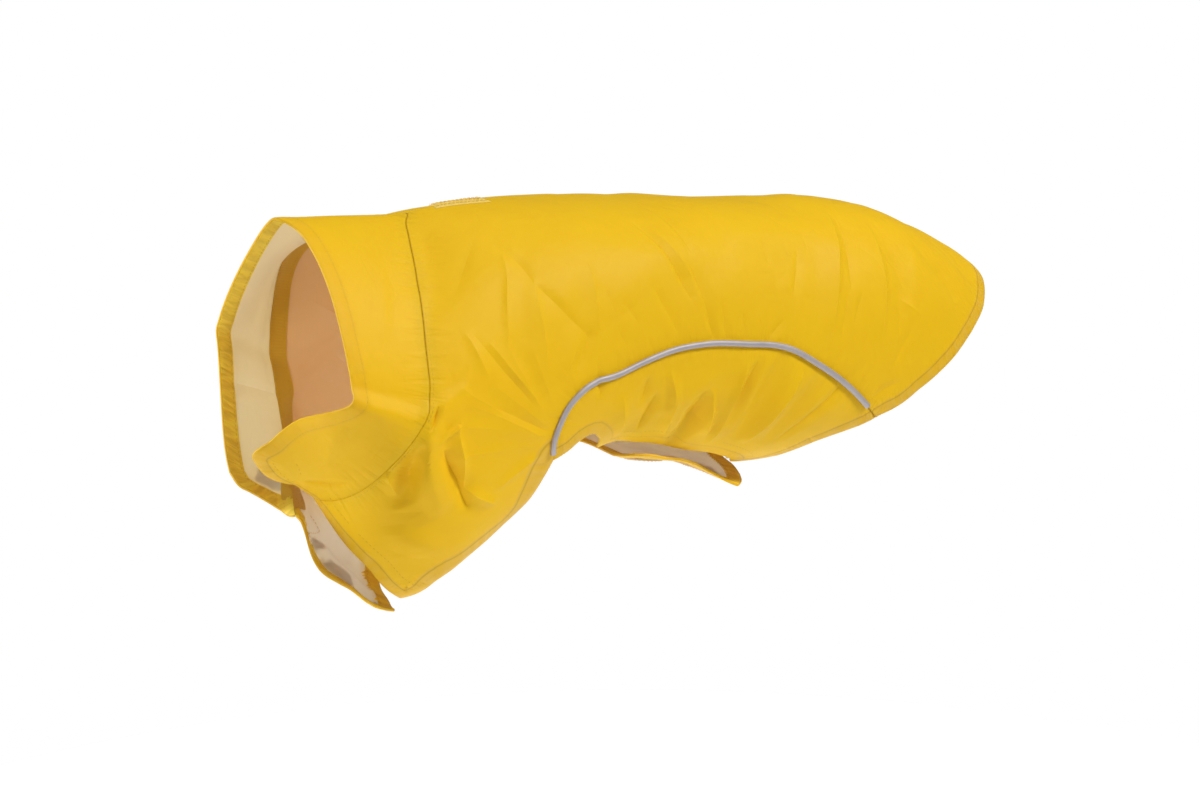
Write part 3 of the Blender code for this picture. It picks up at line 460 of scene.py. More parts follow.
def outward(points):
    normal = np.cross(np.gradient(points, axis=0), np.gradient(points, axis=1))
    return normal / np.maximum(np.linalg.norm(normal, axis=2, keepdims=True), 1e-9)


def averaged(rows, rounds, both_ways=False):
    """Lattice values averaged with their neighbours down the back, and round it too."""
    for _ in range(rounds):
        padded = np.concatenate([rows[:1] * 2 - rows[1:2], rows, rows[-1:] * 2 - rows[-2:-1]])
        rows = (padded[:-2] + 2 * padded[1:-1] + padded[2:]) / 4
        if both_ways:
            padded = np.concatenate([rows[:, :1] * 2 - rows[:, 1:2], rows,
                                     rows[:, -1:] * 2 - rows[:, -2:-1]], axis=1)
            rows = (padded[:, :-2] + 2 * padded[:, 1:-1] + padded[:, 2:]) / 4
    return rows


def unit(vectors):
    return vectors / np.maximum(np.linalg.norm(vectors, axis=-1, keepdims=True), 1e-9)


def crumpled(along, round_, size, seed):
    """Smooth random heights from -1 to 1 over the cloth, in lumps of one size."""
    draws = np.random.default_rng(seed)
    grid = draws.uniform(-1, 1, [int(span / size) + 4 for span in CRUMPLE_SPAN])
    a = (along - CRUMPLE_START[0]) / size
    r = (round_ - CRUMPLE_START[1]) / size
    i = np.clip(a.astype(int), 0, grid.shape[0] - 2)
    j = np.clip(r.astype(int), 0, grid.shape[1] - 2)
    u = a - i
    v = r - j
    u = u**3 * (u * (u * 6 - 15) + 10)
    v = v**3 * (v * (v * 6 - 15) + 10)
    near = grid[i, j] * (1 - v) + grid[i, j + 1] * v
    far = grid[i + 1, j] * (1 - v) + grid[i + 1, j + 1] * v
    return near * (1 - u) + far * u


def faceted(along, round_, size, seed):
    """Random heights from -1 to 1 joined by flat facets, as stiff cloth crumples."""
    draws = np.random.default_rng(seed)
    tall = size * FLAT_STRETCH
    grid = np.stack(np.meshgrid(np.arange(along[0, 0] - size, along[-1, 0] + 2 * size, size),
                                np.arange(round_[0, 0] - tall, round_[0, -1] + 2 * tall, tall),
                                indexing="ij"), axis=2)
    grid[::2, :, 1] += tall / 2
    scatter = draws.uniform(-FLAT_SCATTER, FLAT_SCATTER, (grid.size // 2, 2))
    places = grid.reshape(-1, 2) + scatter * (size, tall)
    heights = draws.uniform(-1.0, 1.0, len(places))
    result = delaunay_2d_cdt([Vector(p) for p in places], [], [], 0, 0.001, True)
    origins = [found[0] for found in result[3]]
    corners = np.array([tuple(v) for v in result[0]])
    step = along[1, 0] - along[0, 0]
    height = np.zeros(along.shape)
    for face in result[2]:
        a, b, c = corners[list(face)]
        ha, hb, hc = (heights[origins[k]] for k in face)
        low = np.minimum(np.minimum(a, b), c)
        high = np.maximum(np.maximum(a, b), c)
        i0 = max(0, int((low[0] - along[0, 0]) / step))
        i1 = max(0, int((high[0] - along[0, 0]) / step) + 2)
        j0 = max(0, int((low[1] - round_[0, 0]) / step))
        j1 = max(0, int((high[1] - round_[0, 0]) / step) + 2)
        x = along[i0:i1, j0:j1] - a[0]
        y = round_[i0:i1, j0:j1] - a[1]
        area = (b[0] - a[0]) * (c[1] - a[1]) - (c[0] - a[0]) * (b[1] - a[1])
        u = (x * (c[1] - a[1]) - y * (c[0] - a[0])) / area
        v = (y * (b[0] - a[0]) - x * (b[1] - a[1])) / area
        within = (u >= -1e-6) & (v >= -1e-6) & (u + v <= 1 + 1e-6)
        height[i0:i1, j0:j1] = np.where(within, ha + (hb - ha) * u + (hc - ha) * v,
                                        height[i0:i1, j0:j1])
    return height


class CoatForm:
    """The coat's outer surface as a lattice over along and round, smooth and with its folds."""

    def __init__(self):
        self.along = np.arange(-COLLAR_TOP - FORM_MARGIN_HEAD, TAIL_END + FORM_MARGIN_TAIL,
                               FORM_STEP)
        self.round = np.arange(-FORM_REACH_ROUND, FORM_REACH_ROUND + 1.0, FORM_STEP)
        rows = np.array(BODY_RINGS, dtype=float)
        points = np.zeros((len(self.along), len(self.round), 3))
        seam, seam_half = self.body_row(Ring(*rows[0]))
        fronts = self.collar_front(seam_half)
        for i, along in enumerate(self.along):
            if along <= 0:
                share = -along / COLLAR_TOP
                points[i] = seam * (1 - share) + fronts * share
            else:
                row = smooth_rows(np.array([along]), rows[:, 0], rows)[0]
                points[i] = self.body_row(Ring(*row))[0]
        points = self.bent_at_seam(averaged(points, FORM_ROUNDS, both_ways=True))
        way_out = unit(averaged(outward(points), FLAP_WAY_ROUNDS))
        points += way_out * self.droop()[:, :, None]
        self.smooth = points
        way_out = unit(averaged(outward(points), FOLD_WAY_ROUNDS, both_ways=True))
        self.way_out = way_out
        self.points = points + way_out * (self.crumples() + self.flare())[:, :, None]
        along, round_ = np.meshgrid(self.along, self.round, indexing="ij")
        lattice = np.stack([along.ravel(), round_.ravel()], axis=1)
        folded = self.points + way_out * self.fold_height(lattice).reshape(along.shape)[:, :, None]
        self.normals = unit(averaged(outward(folded), NORMAL_ROUNDS, both_ways=True))
        place = np.array([[ORIGIN_ALONG, 0.0]])
        self.origin = self.read(self.smooth, place) - unit(
            self.read(outward(self.smooth), place)) * PART_WALL

    def body_row(self, ring):
        points, lengths, half = ring_line(ring)
        row = read_line(points, lengths, np.abs(self.round))
        row[:, 1] *= np.where(self.round < 0, -1.0, 1.0)
        return row, half

    def collar_front(self, seam_half):
        share = np.abs(self.round) / seam_half
        left = collar_edge_line(COLLAR_LEFT, share)
        right = collar_edge_line(COLLAR_RIGHT, share)
        left[:, 1] *= -1.0
        return np.where((self.round < 0)[:, None], left, right)

    def bent_at_seam(self, points):
        """The same surface, on which the line at the collar seam follows the seam's bends."""
        bends = np.array(SEAM_BENDS, dtype=float)
        bend = smooth_rows(self.round, bends[:, 0], bends[:, 1:])[:, 0]
        near = np.clip(1.0 - (self.along / SEAM_BEND_REACH)**2, 0.0, 1.0)**2
        place = (self.along[:, None] + near[:, None] * bend - self.along[0]) / FORM_STEP
        i = np.clip(place.astype(int), 0, len(self.along) - 2)
        j = np.arange(len(self.round))
        share = (place - i)[:, :, None]
        return points[i, j] * (1 - share) + points[i + 1, j] * share

    def droop(self):
        """How far the right side stands out: its free edges hang, and its shoulder swells."""
        table = np.array(RIGHT_DROOP, dtype=float)
        edge, amount = smooth_rows(np.maximum(self.along, table[0, 0]), table[:, 0],
                                   table[:, 1:]).T
        share = np.clip(1.0 + (self.round[None, :] - edge[:, None]) / DROOP_REACH, 0.0,
                        DROOP_PAST)
        shoulder = np.array(RIGHT_SHOULDER, dtype=float)
        swell = smooth_rows(self.along, shoulder[:, 0], shoulder[:, 1:])
        away = np.clip((self.round - SHOULDER_MIDDLE) / SHOULDER_REACH, -1.0, 1.0)
        return (np.maximum(amount, 0.0)[:, None] * share**2
                + np.maximum(swell, 0.0) * np.cos(away * np.pi / 2)[None, :]**2)

    def flare(self):
        """How far the right flap stands out along its free edge, and in beside it."""
        table = np.array(FLARE_EDGE, dtype=float)
        edge = smooth_rows(np.clip(self.along, table[0, 0], table[-1, 0]), table[:, 0],
                           table[:, 1:])[:, 0]
        away = edge[:, None] - self.round[None, :]
        out = FLARE_OUT * np.exp(-(np.maximum(away, 0.0) / FLARE_REACH)**2)
        hollow = HOLLOW_IN * np.exp(-((away - HOLLOW_AWAY) / HOLLOW_REACH)**2)
        before = np.minimum(self.along - FLARE_FROM, 0.0) / FLARE_FADE_IN
        behind = np.maximum(self.along - FLARE_TO, 0.0) / FLARE_FADE_OUT
        fade = np.exp(-before**2) * np.exp(-behind**2)
        return (out - hollow) * fade[:, None]

    def wander(self, places):
        """A crease is never quite straight: how far it strays at places."""
        return FOLD_STRAY * np.stack([
            crumpled(places[:, 0], places[:, 1], STRAY_SIZE, 5),
            crumpled(places[:, 0], places[:, 1], STRAY_SIZE, 6)], axis=1)

    def beside_fold(self, fold, strayed):
        """For strayed places: how far along a fold they lie, and how far to its tail's side."""
        start = np.array([fold.along_1, fold.round_1], dtype=float)
        run = np.array([fold.along_2, fold.round_2], dtype=float) - start
        length = np.hypot(*run)
        across = np.array([-run[1], run[0]]) / length
        if across[0] < 0:
            across = -across
        from_start = strayed - start
        return from_start @ run / length**2, from_start @ across

    def fold_height(self, places):
        """Heights of the folds at places; both flanks narrow, and they sink, to the two ends."""
        strayed = places + self.wander(places)
        height = np.zeros(len(places))
        for fold in FOLDS:
            part, away = self.beside_fold(fold, strayed)
            near = np.nonzero((part > 0) & (part < 1) & (np.abs(away) < FOLD_REACH))[0]
            part, away = part[near], away[near]
            leaf = 4.0 * part * (1.0 - part)
            reach = np.where(away > 0, fold.tailward, fold.headward) * (
                FOLD_END + (1.0 - FOLD_END) * leaf**0.5)
            crest = 0.0 if self.is_crisp(fold) else SOFT_CREST
            over = (np.sqrt(away**2 + crest**2) - crest) / reach
            flank = (1.0 - over + np.sqrt((1.0 - over)**2 + FOLD_FOOT)) / 2
            height[near] += fold.height * flank * leaf**FOLD_SINK
        return height

    def is_crisp(self, fold):
        return min(fold.headward, fold.tailward) <= CRISP_REACH

    def crests(self):
        """The lines of the crisp crests, as runs of places."""
        runs = []
        for fold in FOLDS:
            if self.is_crisp(fold):
                start = np.array([fold.along_1, fold.round_1], dtype=float)
                run = np.array([fold.along_2, fold.round_2], dtype=float) - start
                count = max(3, int(np.hypot(*run) / FACET) + 1)
                straight = start + np.linspace(*CREST_PART, count)[:, None] * run
                line = straight
                for _ in range(STRAY_ROUNDS):
                    line = straight - self.wander(line)
                runs.append(line)
        return runs

    def crumples(self):
        """Heights of the cloth's soft crumples and of its flat facets."""
        along, round_ = np.meshgrid(self.along, self.round, indexing="ij")
        height = np.zeros(along.shape)
        calm = 1.0 - TIGHT_COLLAR * np.clip((TIGHT_FROM - along) / TIGHT_OVER, 0.0, 1.0)
        for crumple in CRUMPLES:
            height += crumpled(along, round_, crumple.size, crumple.seed) * crumple.height * calm
        for crumple in FLAT_CRUMPLES:
            height += faceted(along, round_, crumple.size, crumple.seed) * crumple.height * calm
        return height

    def read(self, field, places):
        """Values of a lattice field at places (along, round)."""
        a = (places[:, 0] - self.along[0]) / FORM_STEP
        r = (places[:, 1] - self.round[0]) / FORM_STEP
        i = np.clip(a.astype(int), 0, len(self.along) - 2)
        j = np.clip(r.astype(int), 0, len(self.round) - 2)
        u = (a - i)[:, None]
        v = (r - j)[:, None]
        near = field[i, j] * (1 - v) + field[i, j + 1] * v
        far = field[i + 1, j] * (1 - v) + field[i + 1, j + 1] * v
        return near * (1 - u) + far * u

    def normal_at(self, places):
        return unit(self.read(self.normals, places))

    def at(self, places, out):
        """Points in the part's frame, in metres, at a height in millimetres over the cloth."""
        out = np.broadcast_to(np.asarray(out, dtype=float), (len(places),))
        raised = self.read(self.way_out, places) * self.fold_height(places)[:, None]
        points = self.read(self.points, places) + raised + self.normal_at(places) * out[:, None]
        return (points - self.origin) * MM

    def plain(self, places):
        """Points on the cloth before it was folded, in millimetres."""
        return self.read(self.smooth, places)

    def inwards(self, places, ways):
        """For ways along a cut edge, the step in (along, round) that goes 1 mm to its left."""
        shift_a = np.array([FORM_STEP, 0.0])
        shift_r = np.array([0.0, FORM_STEP])
        by_a = (self.plain(places + shift_a) - self.plain(places - shift_a)) / (2 * FORM_STEP)
        by_r = (self.plain(places + shift_r) - self.plain(places - shift_r)) / (2 * FORM_STEP)
        aa = np.sum(by_a * by_a, axis=1)
        ar = np.sum(by_a * by_r, axis=1)
        rr = np.sum(by_r * by_r, axis=1)
        across_a = -(ar * ways[:, 0] + rr * ways[:, 1])
        across_r = aa * ways[:, 0] + ar * ways[:, 1]
        size = np.sqrt(aa * rr - ar**2)
        length = np.sqrt(aa * ways[:, 0]**2 + 2 * ar * ways[:, 0] * ways[:, 1]
                         + rr * ways[:, 1]**2)
        return np.stack([across_a, across_r], axis=1) / (size * length)[:, None]


coat = CoatForm()


def mirrored(table):
    return tuple((along, -round_) for along, round_ in table)


def backwards(table):
    return tuple(reversed(table))


def cut_edge(table, step=FACET):
    """Evenly spaced places on a smooth curve through the places of a cut edge."""
    knots = np.array(table, dtype=float)
    chords = np.concatenate([[0.0], np.cumsum(np.linalg.norm(np.diff(knots, axis=0), axis=1))])
    count = max(2, int(round(chords[-1] / step)) + 1)
    return smooth_rows(np.linspace(0.0, chords[-1], count), chords, knots)


def join_edges(*edges):
    run = [edges[0]]
    for edge in edges[1:]:
        run.append(edge[1:])
    return np.concatenate(run)


SHARPEST_MITRE = 0.4      # a mitre at a sharper corner is cut short


def inset(run, width):
    """The run moved width to its left on the cloth, mitred at its corners."""
    ahead = np.roll(run, -1, axis=0) - run
    behind = run - np.roll(run, 1, axis=0)
    ahead[-1] = ahead[-2]
    behind[0] = behind[1]
    left_ahead = coat.inwards(run, ahead)
    left_behind = coat.inwards(run, behind)
    turn = np.sum(unit(ahead) * unit(behind), axis=1)
    mitre = (left_ahead + left_behind) / np.maximum(1.0 + turn, SHARPEST_MITRE)[:, None]
    return run + mitre * np.asarray(width).reshape(-1, 1)


def evenly(run, step, start=0.0, end=0.0):
    """The run with evenly spaced places, and a little taken off its ends."""
    chords = np.concatenate([[0.0], np.cumsum(np.linalg.norm(np.diff(run, axis=0), axis=1))])
    last = chords[-1] - end
    at = np.linspace(start, last, max(2, int(round((last - start) / step)) + 1))
    return np.stack([np.interp(at, chords, run[:, axis]) for axis in range(2)], axis=1)


def part_of(run, start, end):
    """The stretch of a run between two shares of its length."""
    length = np.linalg.norm(np.diff(run, axis=0), axis=1).sum()
    return evenly(run, FACET, start * length, (1 - end) * length)


def closed_run(loop):
    return np.concatenate([loop, loop[:1]])


def inside(outline, places):
    """Which places lie inside a closed outline."""
    x, y = places[:, 0], places[:, 1]
    found = np.zeros(len(places), dtype=bool)
    for (x1, y1), (x2, y2) in zip(outline, np.roll(outline, -1, axis=0)):
        if y1 != y2:
            crosses = (y1 > y) != (y2 > y)
            found ^= crosses & (x < (x2 - x1) * (y - y1) / (y2 - y1) + x1)
    return found


def nearest_on(run, points):
    """Distance from points to a run of points, and how far along the run the nearest lies."""
    start = run[:-1]
    way = run[1:] - start
    square = np.maximum(np.sum(way * way, axis=1), 1e-9)
    lengths = np.concatenate([[0.0], np.cumsum(np.sqrt(square))])
    away = np.zeros(len(points))
    reached = np.zeros(len(points))
    at_once = 3000
    for first in range(0, len(points), at_once):
        block = points[first:first + at_once, None, :] - start[None]
        part = np.clip(np.sum(block * way[None], axis=2) / square[None], 0.0, 1.0)
        apart = np.linalg.norm(block - part[:, :, None] * way[None], axis=2)
        best = np.argmin(apart, axis=1)
        row = np.arange(len(best))
        away[first:first + at_once] = apart[row, best]
        reached[first:first + at_once] = lengths[best] + part[row, best] * np.sqrt(square[best])
    return away, reached


CREST_CLEAR = 0.7         # in facets: how far crests stay off the edges,
GRID_CLEAR = 0.55         # and how far the loose points of the facets stay off every line
ROW_SPACING = 0.9         # in facets: rows of points round the dog, which lie in a zigzag


def clear_stretches(lines, loops, edges):
    """The stretches of lines that lie well inside an outline and clear of its edges."""
    stretches = []
    all_edges = np.concatenate([evenly(edge, 1.0) for edge in edges])
    for line in lines:
        clear = inside(loops[0], line)
        for hole in loops[1:]:
            clear &= ~inside(hole, line)
        gap = np.linalg.norm(line[:, None, :] - all_edges[None], axis=2).min(axis=1)
        clear &= gap > FACET * CREST_CLEAR
        starts = np.nonzero(clear & ~np.concatenate([[False], clear[:-1]]))[0]
        ends = np.nonzero(clear & ~np.concatenate([clear[1:], [False]]))[0]
        stretches += [line[i:j + 1] for i, j in zip(starts, ends) if j > i]
    return stretches


def cut_cloth(outline, lines=(), holes=()):
    """Facets of a piece of cloth inside an outline, which follow its lines and its holes."""
    loops = [np.asarray(outline)] + [np.asarray(hole) for hole in holes]
    runs = [closed_run(loop) for loop in loops] + [np.asarray(line) for line in lines]
    runs += clear_stretches(coat.crests(), loops, runs)
    fixed = []
    edges = []
    for run in runs:
        edges += [(len(fixed) + k, len(fixed) + k + 1) for k in range(len(run) - 1)]
        fixed += [tuple(p) for p in run]
    low = loops[0].min(axis=0)
    high = loops[0].max(axis=0)
    row_a = np.arange(low[0] + FACET / 2, high[0], FACET * ROW_SPACING)
    row_r = np.arange(low[1], high[1], FACET)
    grid = np.stack(np.meshgrid(row_a, row_r, indexing="ij"), axis=2)
    grid[::2, :, 1] += FACET / 2
    grid = grid.reshape(-1, 2)
    grid = grid[inside(loops[0], grid)]
    all_runs = np.concatenate([evenly(run, 1.0) for run in runs])
    near = np.zeros(len(grid), dtype=bool)
    at_once = 400
    for first in range(0, len(all_runs), at_once):
        block = all_runs[first:first + at_once]
        gap = np.abs(grid[:, None, :] - block[None]).max(axis=2)
        near |= (gap < FACET * GRID_CLEAR).any(axis=1)
    grid = grid[~near]
    places = fixed + [tuple(p) for p in grid]
    result = delaunay_2d_cdt([Vector(p) for p in places], edges, [], 0, 0.01, False)
    places = np.array([tuple(v) for v in result[0]])
    triangles = np.array([tuple(f) for f in result[2]])
    middle = places[triangles].mean(axis=1)
    keep = inside(loops[0], middle)
    for hole in loops[1:]:
        keep &= ~inside(hole, middle)
    triangles = triangles[keep]
    used = np.unique(triangles)
    renumber = np.zeros(len(places), dtype=int)
    renumber[used] = np.arange(len(used))
    return places[used], renumber[triangles]


SHARP_ANGLE = 0.75        # radians between two faces from which their edge is sharp
ON_CREST = 0.02           # points so near to a crest's line lie on it


def mark_crests(mesh, places):
    """The edges that lie along a crisp crest are sharp."""
    ends = np.zeros(2 * len(mesh.edges), dtype=np.int32)
    mesh.edges.foreach_get("vertices", ends)
    sharp = np.zeros(len(mesh.edges), dtype=bool)
    mesh.edges.foreach_get("use_edge_sharp", sharp)
    first, last = ends.reshape(-1, 2).T
    strayed = places + coat.wander(places)
    for fold in FOLDS:
        if coat.is_crisp(fold):
            part, away = coat.beside_fold(fold, strayed)
            on_crest = (np.abs(away) < ON_CREST) & (part > 0) & (part < 1)
            sharp |= on_crest[first] & on_crest[last] & (np.abs(part[first] - part[last]) > 0)
    mesh.edges.foreach_set("use_edge_sharp", sharp)


def finished_piece(name, points, faces, tones, materials, places, marks):
    """A mesh object at the origin, with its cloth places as a UV map and marks on its points."""
    mesh = bpy.data.meshes.new(name)
    mesh.from_pydata(points.tolist(), [], faces)
    mesh.update()
    for material in materials:
        mesh.materials.append(material)
    mesh.polygons.foreach_set("material_index", np.asarray(tones, dtype=np.int32))
    corners = np.zeros(len(mesh.loops), dtype=np.int32)
    mesh.loops.foreach_get("vertex_index", corners)
    layer = mesh.uv_layers.new(name="cloth")
    layer.data.foreach_set("uv", (places[corners] * MM).ravel().astype(np.float32))
    for key, values in marks.items():
        made = mesh.attributes.new(key, "FLOAT", "POINT")
        made.data.foreach_set("value", np.asarray(values, dtype=np.float32))
    mesh.shade_smooth()
    mesh.set_sharp_from_angle(angle=SHARP_ANGLE)
    mark_crests(mesh, places)
    piece = bpy.data.objects.new(name, mesh)
    bpy.context.scene.collection.objects.link(piece)
    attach(piece, "root")
    return piece


def open_edges(triangles):
    """The edges of one triangle only, each in the way that its triangle runs."""
    sides = {}
    for a, b, c in triangles.tolist():
        for edge in ((a, b), (b, c), (c, a)):
            sides[edge] = True
    return [edge for edge in sides if (edge[1], edge[0]) not in sides]


def two_faces(triangles, count):
    """The triangles of the outer face, then those of the inner one, count points later."""
    outer = [tuple(t) for t in triangles.tolist()]
    return outer + [(c + count, b + count, a + count) for a, b, c in outer]


OUTSIDE, INSIDE, TURNED = 0, 1, 2
FAR_AWAY = 99.0           # from an edge or a seam, where neither does anything to the cloth
NEXT_RUN = 5000.0         # added to the length along a hem for each further run of it
SEAM_REACH = 1.7          # the cloth steps into a seam so near to it,
HEM_SWELL = 0.22          # and swells so much between the edge and the hem's stitches
HEM_SWELL_PLACE, HEM_SWELL_REACH = 5.0, 3.2
TURNED_DEPTH_TO = HEM_WIDTH + 0.25
TURNED_LOOK_TO = HEM_WIDTH + 0.3
RIM_ANGLES = (35.0, 90.0, 145.0)
ON_FREE_EDGE = 0.4        # points of the rim so near to a hem's edge are on it
FREE_RIM_BULGE = 0.36     # of its depth, where the cloth turns round at a free edge
SEWN_RIM_BULGE = 0.1      # millimetres
WIDER_HEM = 0.48          # how much wider the hem's look may get, over a stretch of this length
WIDER_OVER = 30.0


def sewn_panel(name, cloth, hem_runs, seam_runs, materials, seam_step, wide_from=NEXT_RUN):
    """A panel as one closed wall, with a turned hem inside its free edges and a rounded rim."""
    places, triangles = cloth
    count = len(places)
    plain = coat.plain(places)
    hem_away = np.full(count, FAR_AWAY)
    hem_along = np.zeros(count)
    for k, run in enumerate(hem_runs):
        away, along = nearest_on(coat.plain(run), plain)
        nearer = away < hem_away
        hem_away = np.where(nearer, away, hem_away)
        hem_along = np.where(nearer, along + k * NEXT_RUN, hem_along)
    seam_away = np.full(count, FAR_AWAY)
    seam_along = np.zeros(count)
    for run in seam_runs:
        away, along = nearest_on(coat.plain(run), plain)
        nearer = away < seam_away
        seam_away = np.where(nearer, away, seam_away)
        seam_along = np.where(nearer, along, seam_along)
    depth = np.where(hem_away < TURNED_DEPTH_TO, HEM_DEPTH, CLOTH)
    top = seam_step * np.exp(-(seam_away / SEAM_REACH)**2)
    top += HEM_SWELL * np.exp(-((hem_away - HEM_SWELL_PLACE) / HEM_SWELL_REACH)**2)
    outer = coat.at(places, top)
    inner = coat.at(places, -depth)
    rim = open_edges(triangles)
    following = dict(rim)
    leading = {b: a for a, b in rim}
    border = np.array(sorted(following))
    after = np.array([following[k] for k in border])
    before = np.array([leading[k] for k in border])
    right = unit(np.cross(outer[after] - outer[before], coat.normal_at(places[border])))
    free = hem_away[border] < ON_FREE_EDGE
    bulge = np.where(free, depth[border] * FREE_RIM_BULGE, SEWN_RIM_BULGE)
    points = [outer, inner]
    rows = [border]
    for k, angle in enumerate(np.radians(RIM_ANGLES)):
        share = (1 - np.cos(angle)) / 2
        middle = outer[border] * (1 - share) + inner[border] * share
        points.append(middle + right * (bulge * np.sin(angle) * MM)[:, None])
        rows.append(np.arange(len(border)) + 2 * count + k * len(border))
    rows.append(border + count)
    slot_of = {place: k for k, place in enumerate(border.tolist())}
    faces = two_faces(triangles, count)
    tones = [OUTSIDE] * len(triangles)
    in_hem = hem_away[triangles].mean(axis=1) < TURNED_LOOK_TO
    tones += np.where(in_hem, TURNED, INSIDE).tolist()
    for a, b in rim:
        i, j = slot_of[a], slot_of[b]
        for upper, lower in zip(rows[:-1], rows[1:]):
            faces.append((int(upper[j]), int(upper[i]), int(lower[i]), int(lower[j])))
            tones.append(OUTSIDE)
    rim_places = np.tile(places[border], (len(RIM_ANGLES), 1))
    all_places = np.concatenate([places, places, rim_places])
    wide = np.clip((hem_along - wide_from) / WIDER_OVER, 0.0, 1.0) * (hem_along < NEXT_RUN)
    hem_away = hem_away * (1.0 - WIDER_HEM * wide)
    marks = {}
    for key, values in (("hem_away", hem_away), ("hem_along", hem_along),
                        ("seam_away", seam_away), ("seam_along", seam_along)):
        marks[key] = np.concatenate([values, values, np.tile(values[border], len(RIM_ANGLES))])
    return finished_piece(name, np.concatenate(points), faces, tones, materials, all_places,
                          marks)


# the cut edges, each running so that its cloth lies on the left of the way it runs
CHEST_FRONT_LEFT = ((0, -272), (20, -285), (40, -298), (58, -316), (71, -327))
CHEST_FRONT_RIGHT = ((0, 256), (11, 278), (22, 302), (38, 336), (50, 353), (63, 366), (70, 371))
CHEST_HEM_LEFT = (
    (71, -327), (77, -315), (80, -304), (85, -298), (92, -286), (100, -274), (105, -258),
    (106, -240), (106, -216),
)
CHEST_HEM_RIGHT = (
    (70, 371), (76, 354), (79, 334), (83, 312), (91, 290), (100, 274), (105, 258), (106, 240),
    (106, 216),
)
SIDE_SEAM = (
    (106, 216), (102, 204), (101, 190), (103, 174), (110, 163), (125, 158), (138, 152),
    (155, 147), (180, 144), (212, 144), (252, 147), (274, 157), (292, 167), (323, 188),
    (336, 197),
)
TAIL_HEM = (
    (336, 197), (348, 189), (359, 181), (370, 171), (387, 153), (397, 142), (408, 129),
    (421, 113), (437, 92), (449, 76), (458, 61), (469, 40), (479, 19), (483, 0),
)
chest_left_run = join_edges(cut_edge(CHEST_FRONT_LEFT), cut_edge(CHEST_HEM_LEFT))
chest_right_run = join_edges(cut_edge(backwards(CHEST_HEM_RIGHT)),
                             cut_edge(backwards(CHEST_FRONT_RIGHT)))
seam_left = cut_edge(mirrored(SIDE_SEAM))
seam_right = cut_edge(backwards(SIDE_SEAM))
tail_run = join_edges(cut_edge(mirrored(TAIL_HEM)), cut_edge(backwards(TAIL_HEM)))
SEAM_PLACES = 196
collar_seam_round = np.linspace(chest_left_run[0, 1], chest_right_run[-1, 1], SEAM_PLACES)
collar_seam_run = np.stack([np.zeros(SEAM_PLACES), collar_seam_round], axis=1)


def box_loop(middle, length, width, step):
    """A closed loop of places round a rectangle on the middle of the back."""
    along = max(2, int(round(length / step)))
    a = np.linspace(middle - length / 2, middle + length / 2, along + 1)
    lower = np.stack([a, np.full(along + 1, -width / 2)], axis=1)
    return np.concatenate([lower, (lower * (1, -1))[::-1]])


HEM_STEP = 0.6            # over which the turned hem ends
HEM_LINE_CLEAR = 0.7      # of its width: nearer to an edge the hem's line is left out


def hem_lines(runs):
    """Where a turned hem ends inside: two lines close together, for a crisp step."""
    lines = []
    for run in runs:
        for width in (HEM_WIDTH, HEM_WIDTH + HEM_STEP):
            line = inset(run, width)
            # at a sharp corner the line would cross itself
            away = nearest_on(coat.plain(run), coat.plain(line))[0]
            lines.append(line[away > width * HEM_LINE_CLEAR])
    return lines


# Looks of the cloth. Places are in millimetres from a cut edge or a seam, heights in metres.
WEAVE_SCALE = 240.0
WEAVE_HEIGHT, BARE_WEAVE_HEIGHT = 0.000006, 0.00001
BAND_EDGE, BAND_SOFTNESS, BAND_COVER = 10.5, 0.4, 0.75
GROOVE_PLACE, GROOVE_REACH, GROOVE_DEPTH = 8.8, 0.5, 0.00012
PUCKER_PLACE, PUCKER_REACH, PUCKER_HEIGHT = 7.0, 6.0, 0.0020
SEAM_PUCKER_REACH, SEAM_PUCKER_HEIGHT = 14.0, 0.0016
CALM_FADE = 40.0          # over which a hem gets calm,
CALM_REST = 0.2           # and what is left of its puckers there
# the seam's painted shadow: how far from the seam it reaches, and where along the seam it grows
# dark
SEAM_SHADOW_EDGE = 0.95
SHADOW_FROM, SHADOW_OVER = 100.0, 70.0
LOW_FROM = 0.21           # metres round the dog from the back's middle, where painted light begins inside

YELLOW = (0.85, 0.508, 0.008)
YELLOW_SHADE = (0.80, 0.465, 0.006)
YELLOW_HEM = (0.74, 0.435, 0.018)
# painted light on the hem's puckers: paler where they rise
PUCKER_PAINTED_LIGHT = (0.74, 0.46, 0.06)
# painted shadow in the seam and in the groove of the hem's stitches
SEAM_AND_GROOVE_PAINTED_SHADOW = (0.47, 0.26, 0.006)
# painted light: the turned hem is paler than the yellow outside, as if lit through the cloth
TURNED_YELLOW_PAINTED_LIGHT = (0.97, 0.73, 0.08)
TURNED_PAINTED_CRUMPLE_SHADE = (0.80, 0.58, 0.06)
# the inside is one beige cloth: painted shade on the back panel, painted light on the collar and
# belly
SHADED_BEIGE = (0.77, 0.52, 0.30)
SHADED_BEIGE_DARK = (0.66, 0.40, 0.20)
LIT_BEIGE = (0.99, 0.80, 0.54)
LIT_BEIGE_DARK = (0.92, 0.70, 0.44)
# painted light, low on the inside of the chest and the belly
LOW_LIT_BEIGE = (0.98, 0.86, 0.72)


def weave(cloth, places, distortion):
    """The relief of threads that cross, from 0 to 2."""
    ways = [cloth.node("ShaderNodeTexWave", {"bands_direction": way}, {
        "Vector": places, "Scale": WEAVE_SCALE, "Distortion": distortion, "Detail": 1.0})
        for way in ("X", "Y")]
    return ways[0] + ways[1]


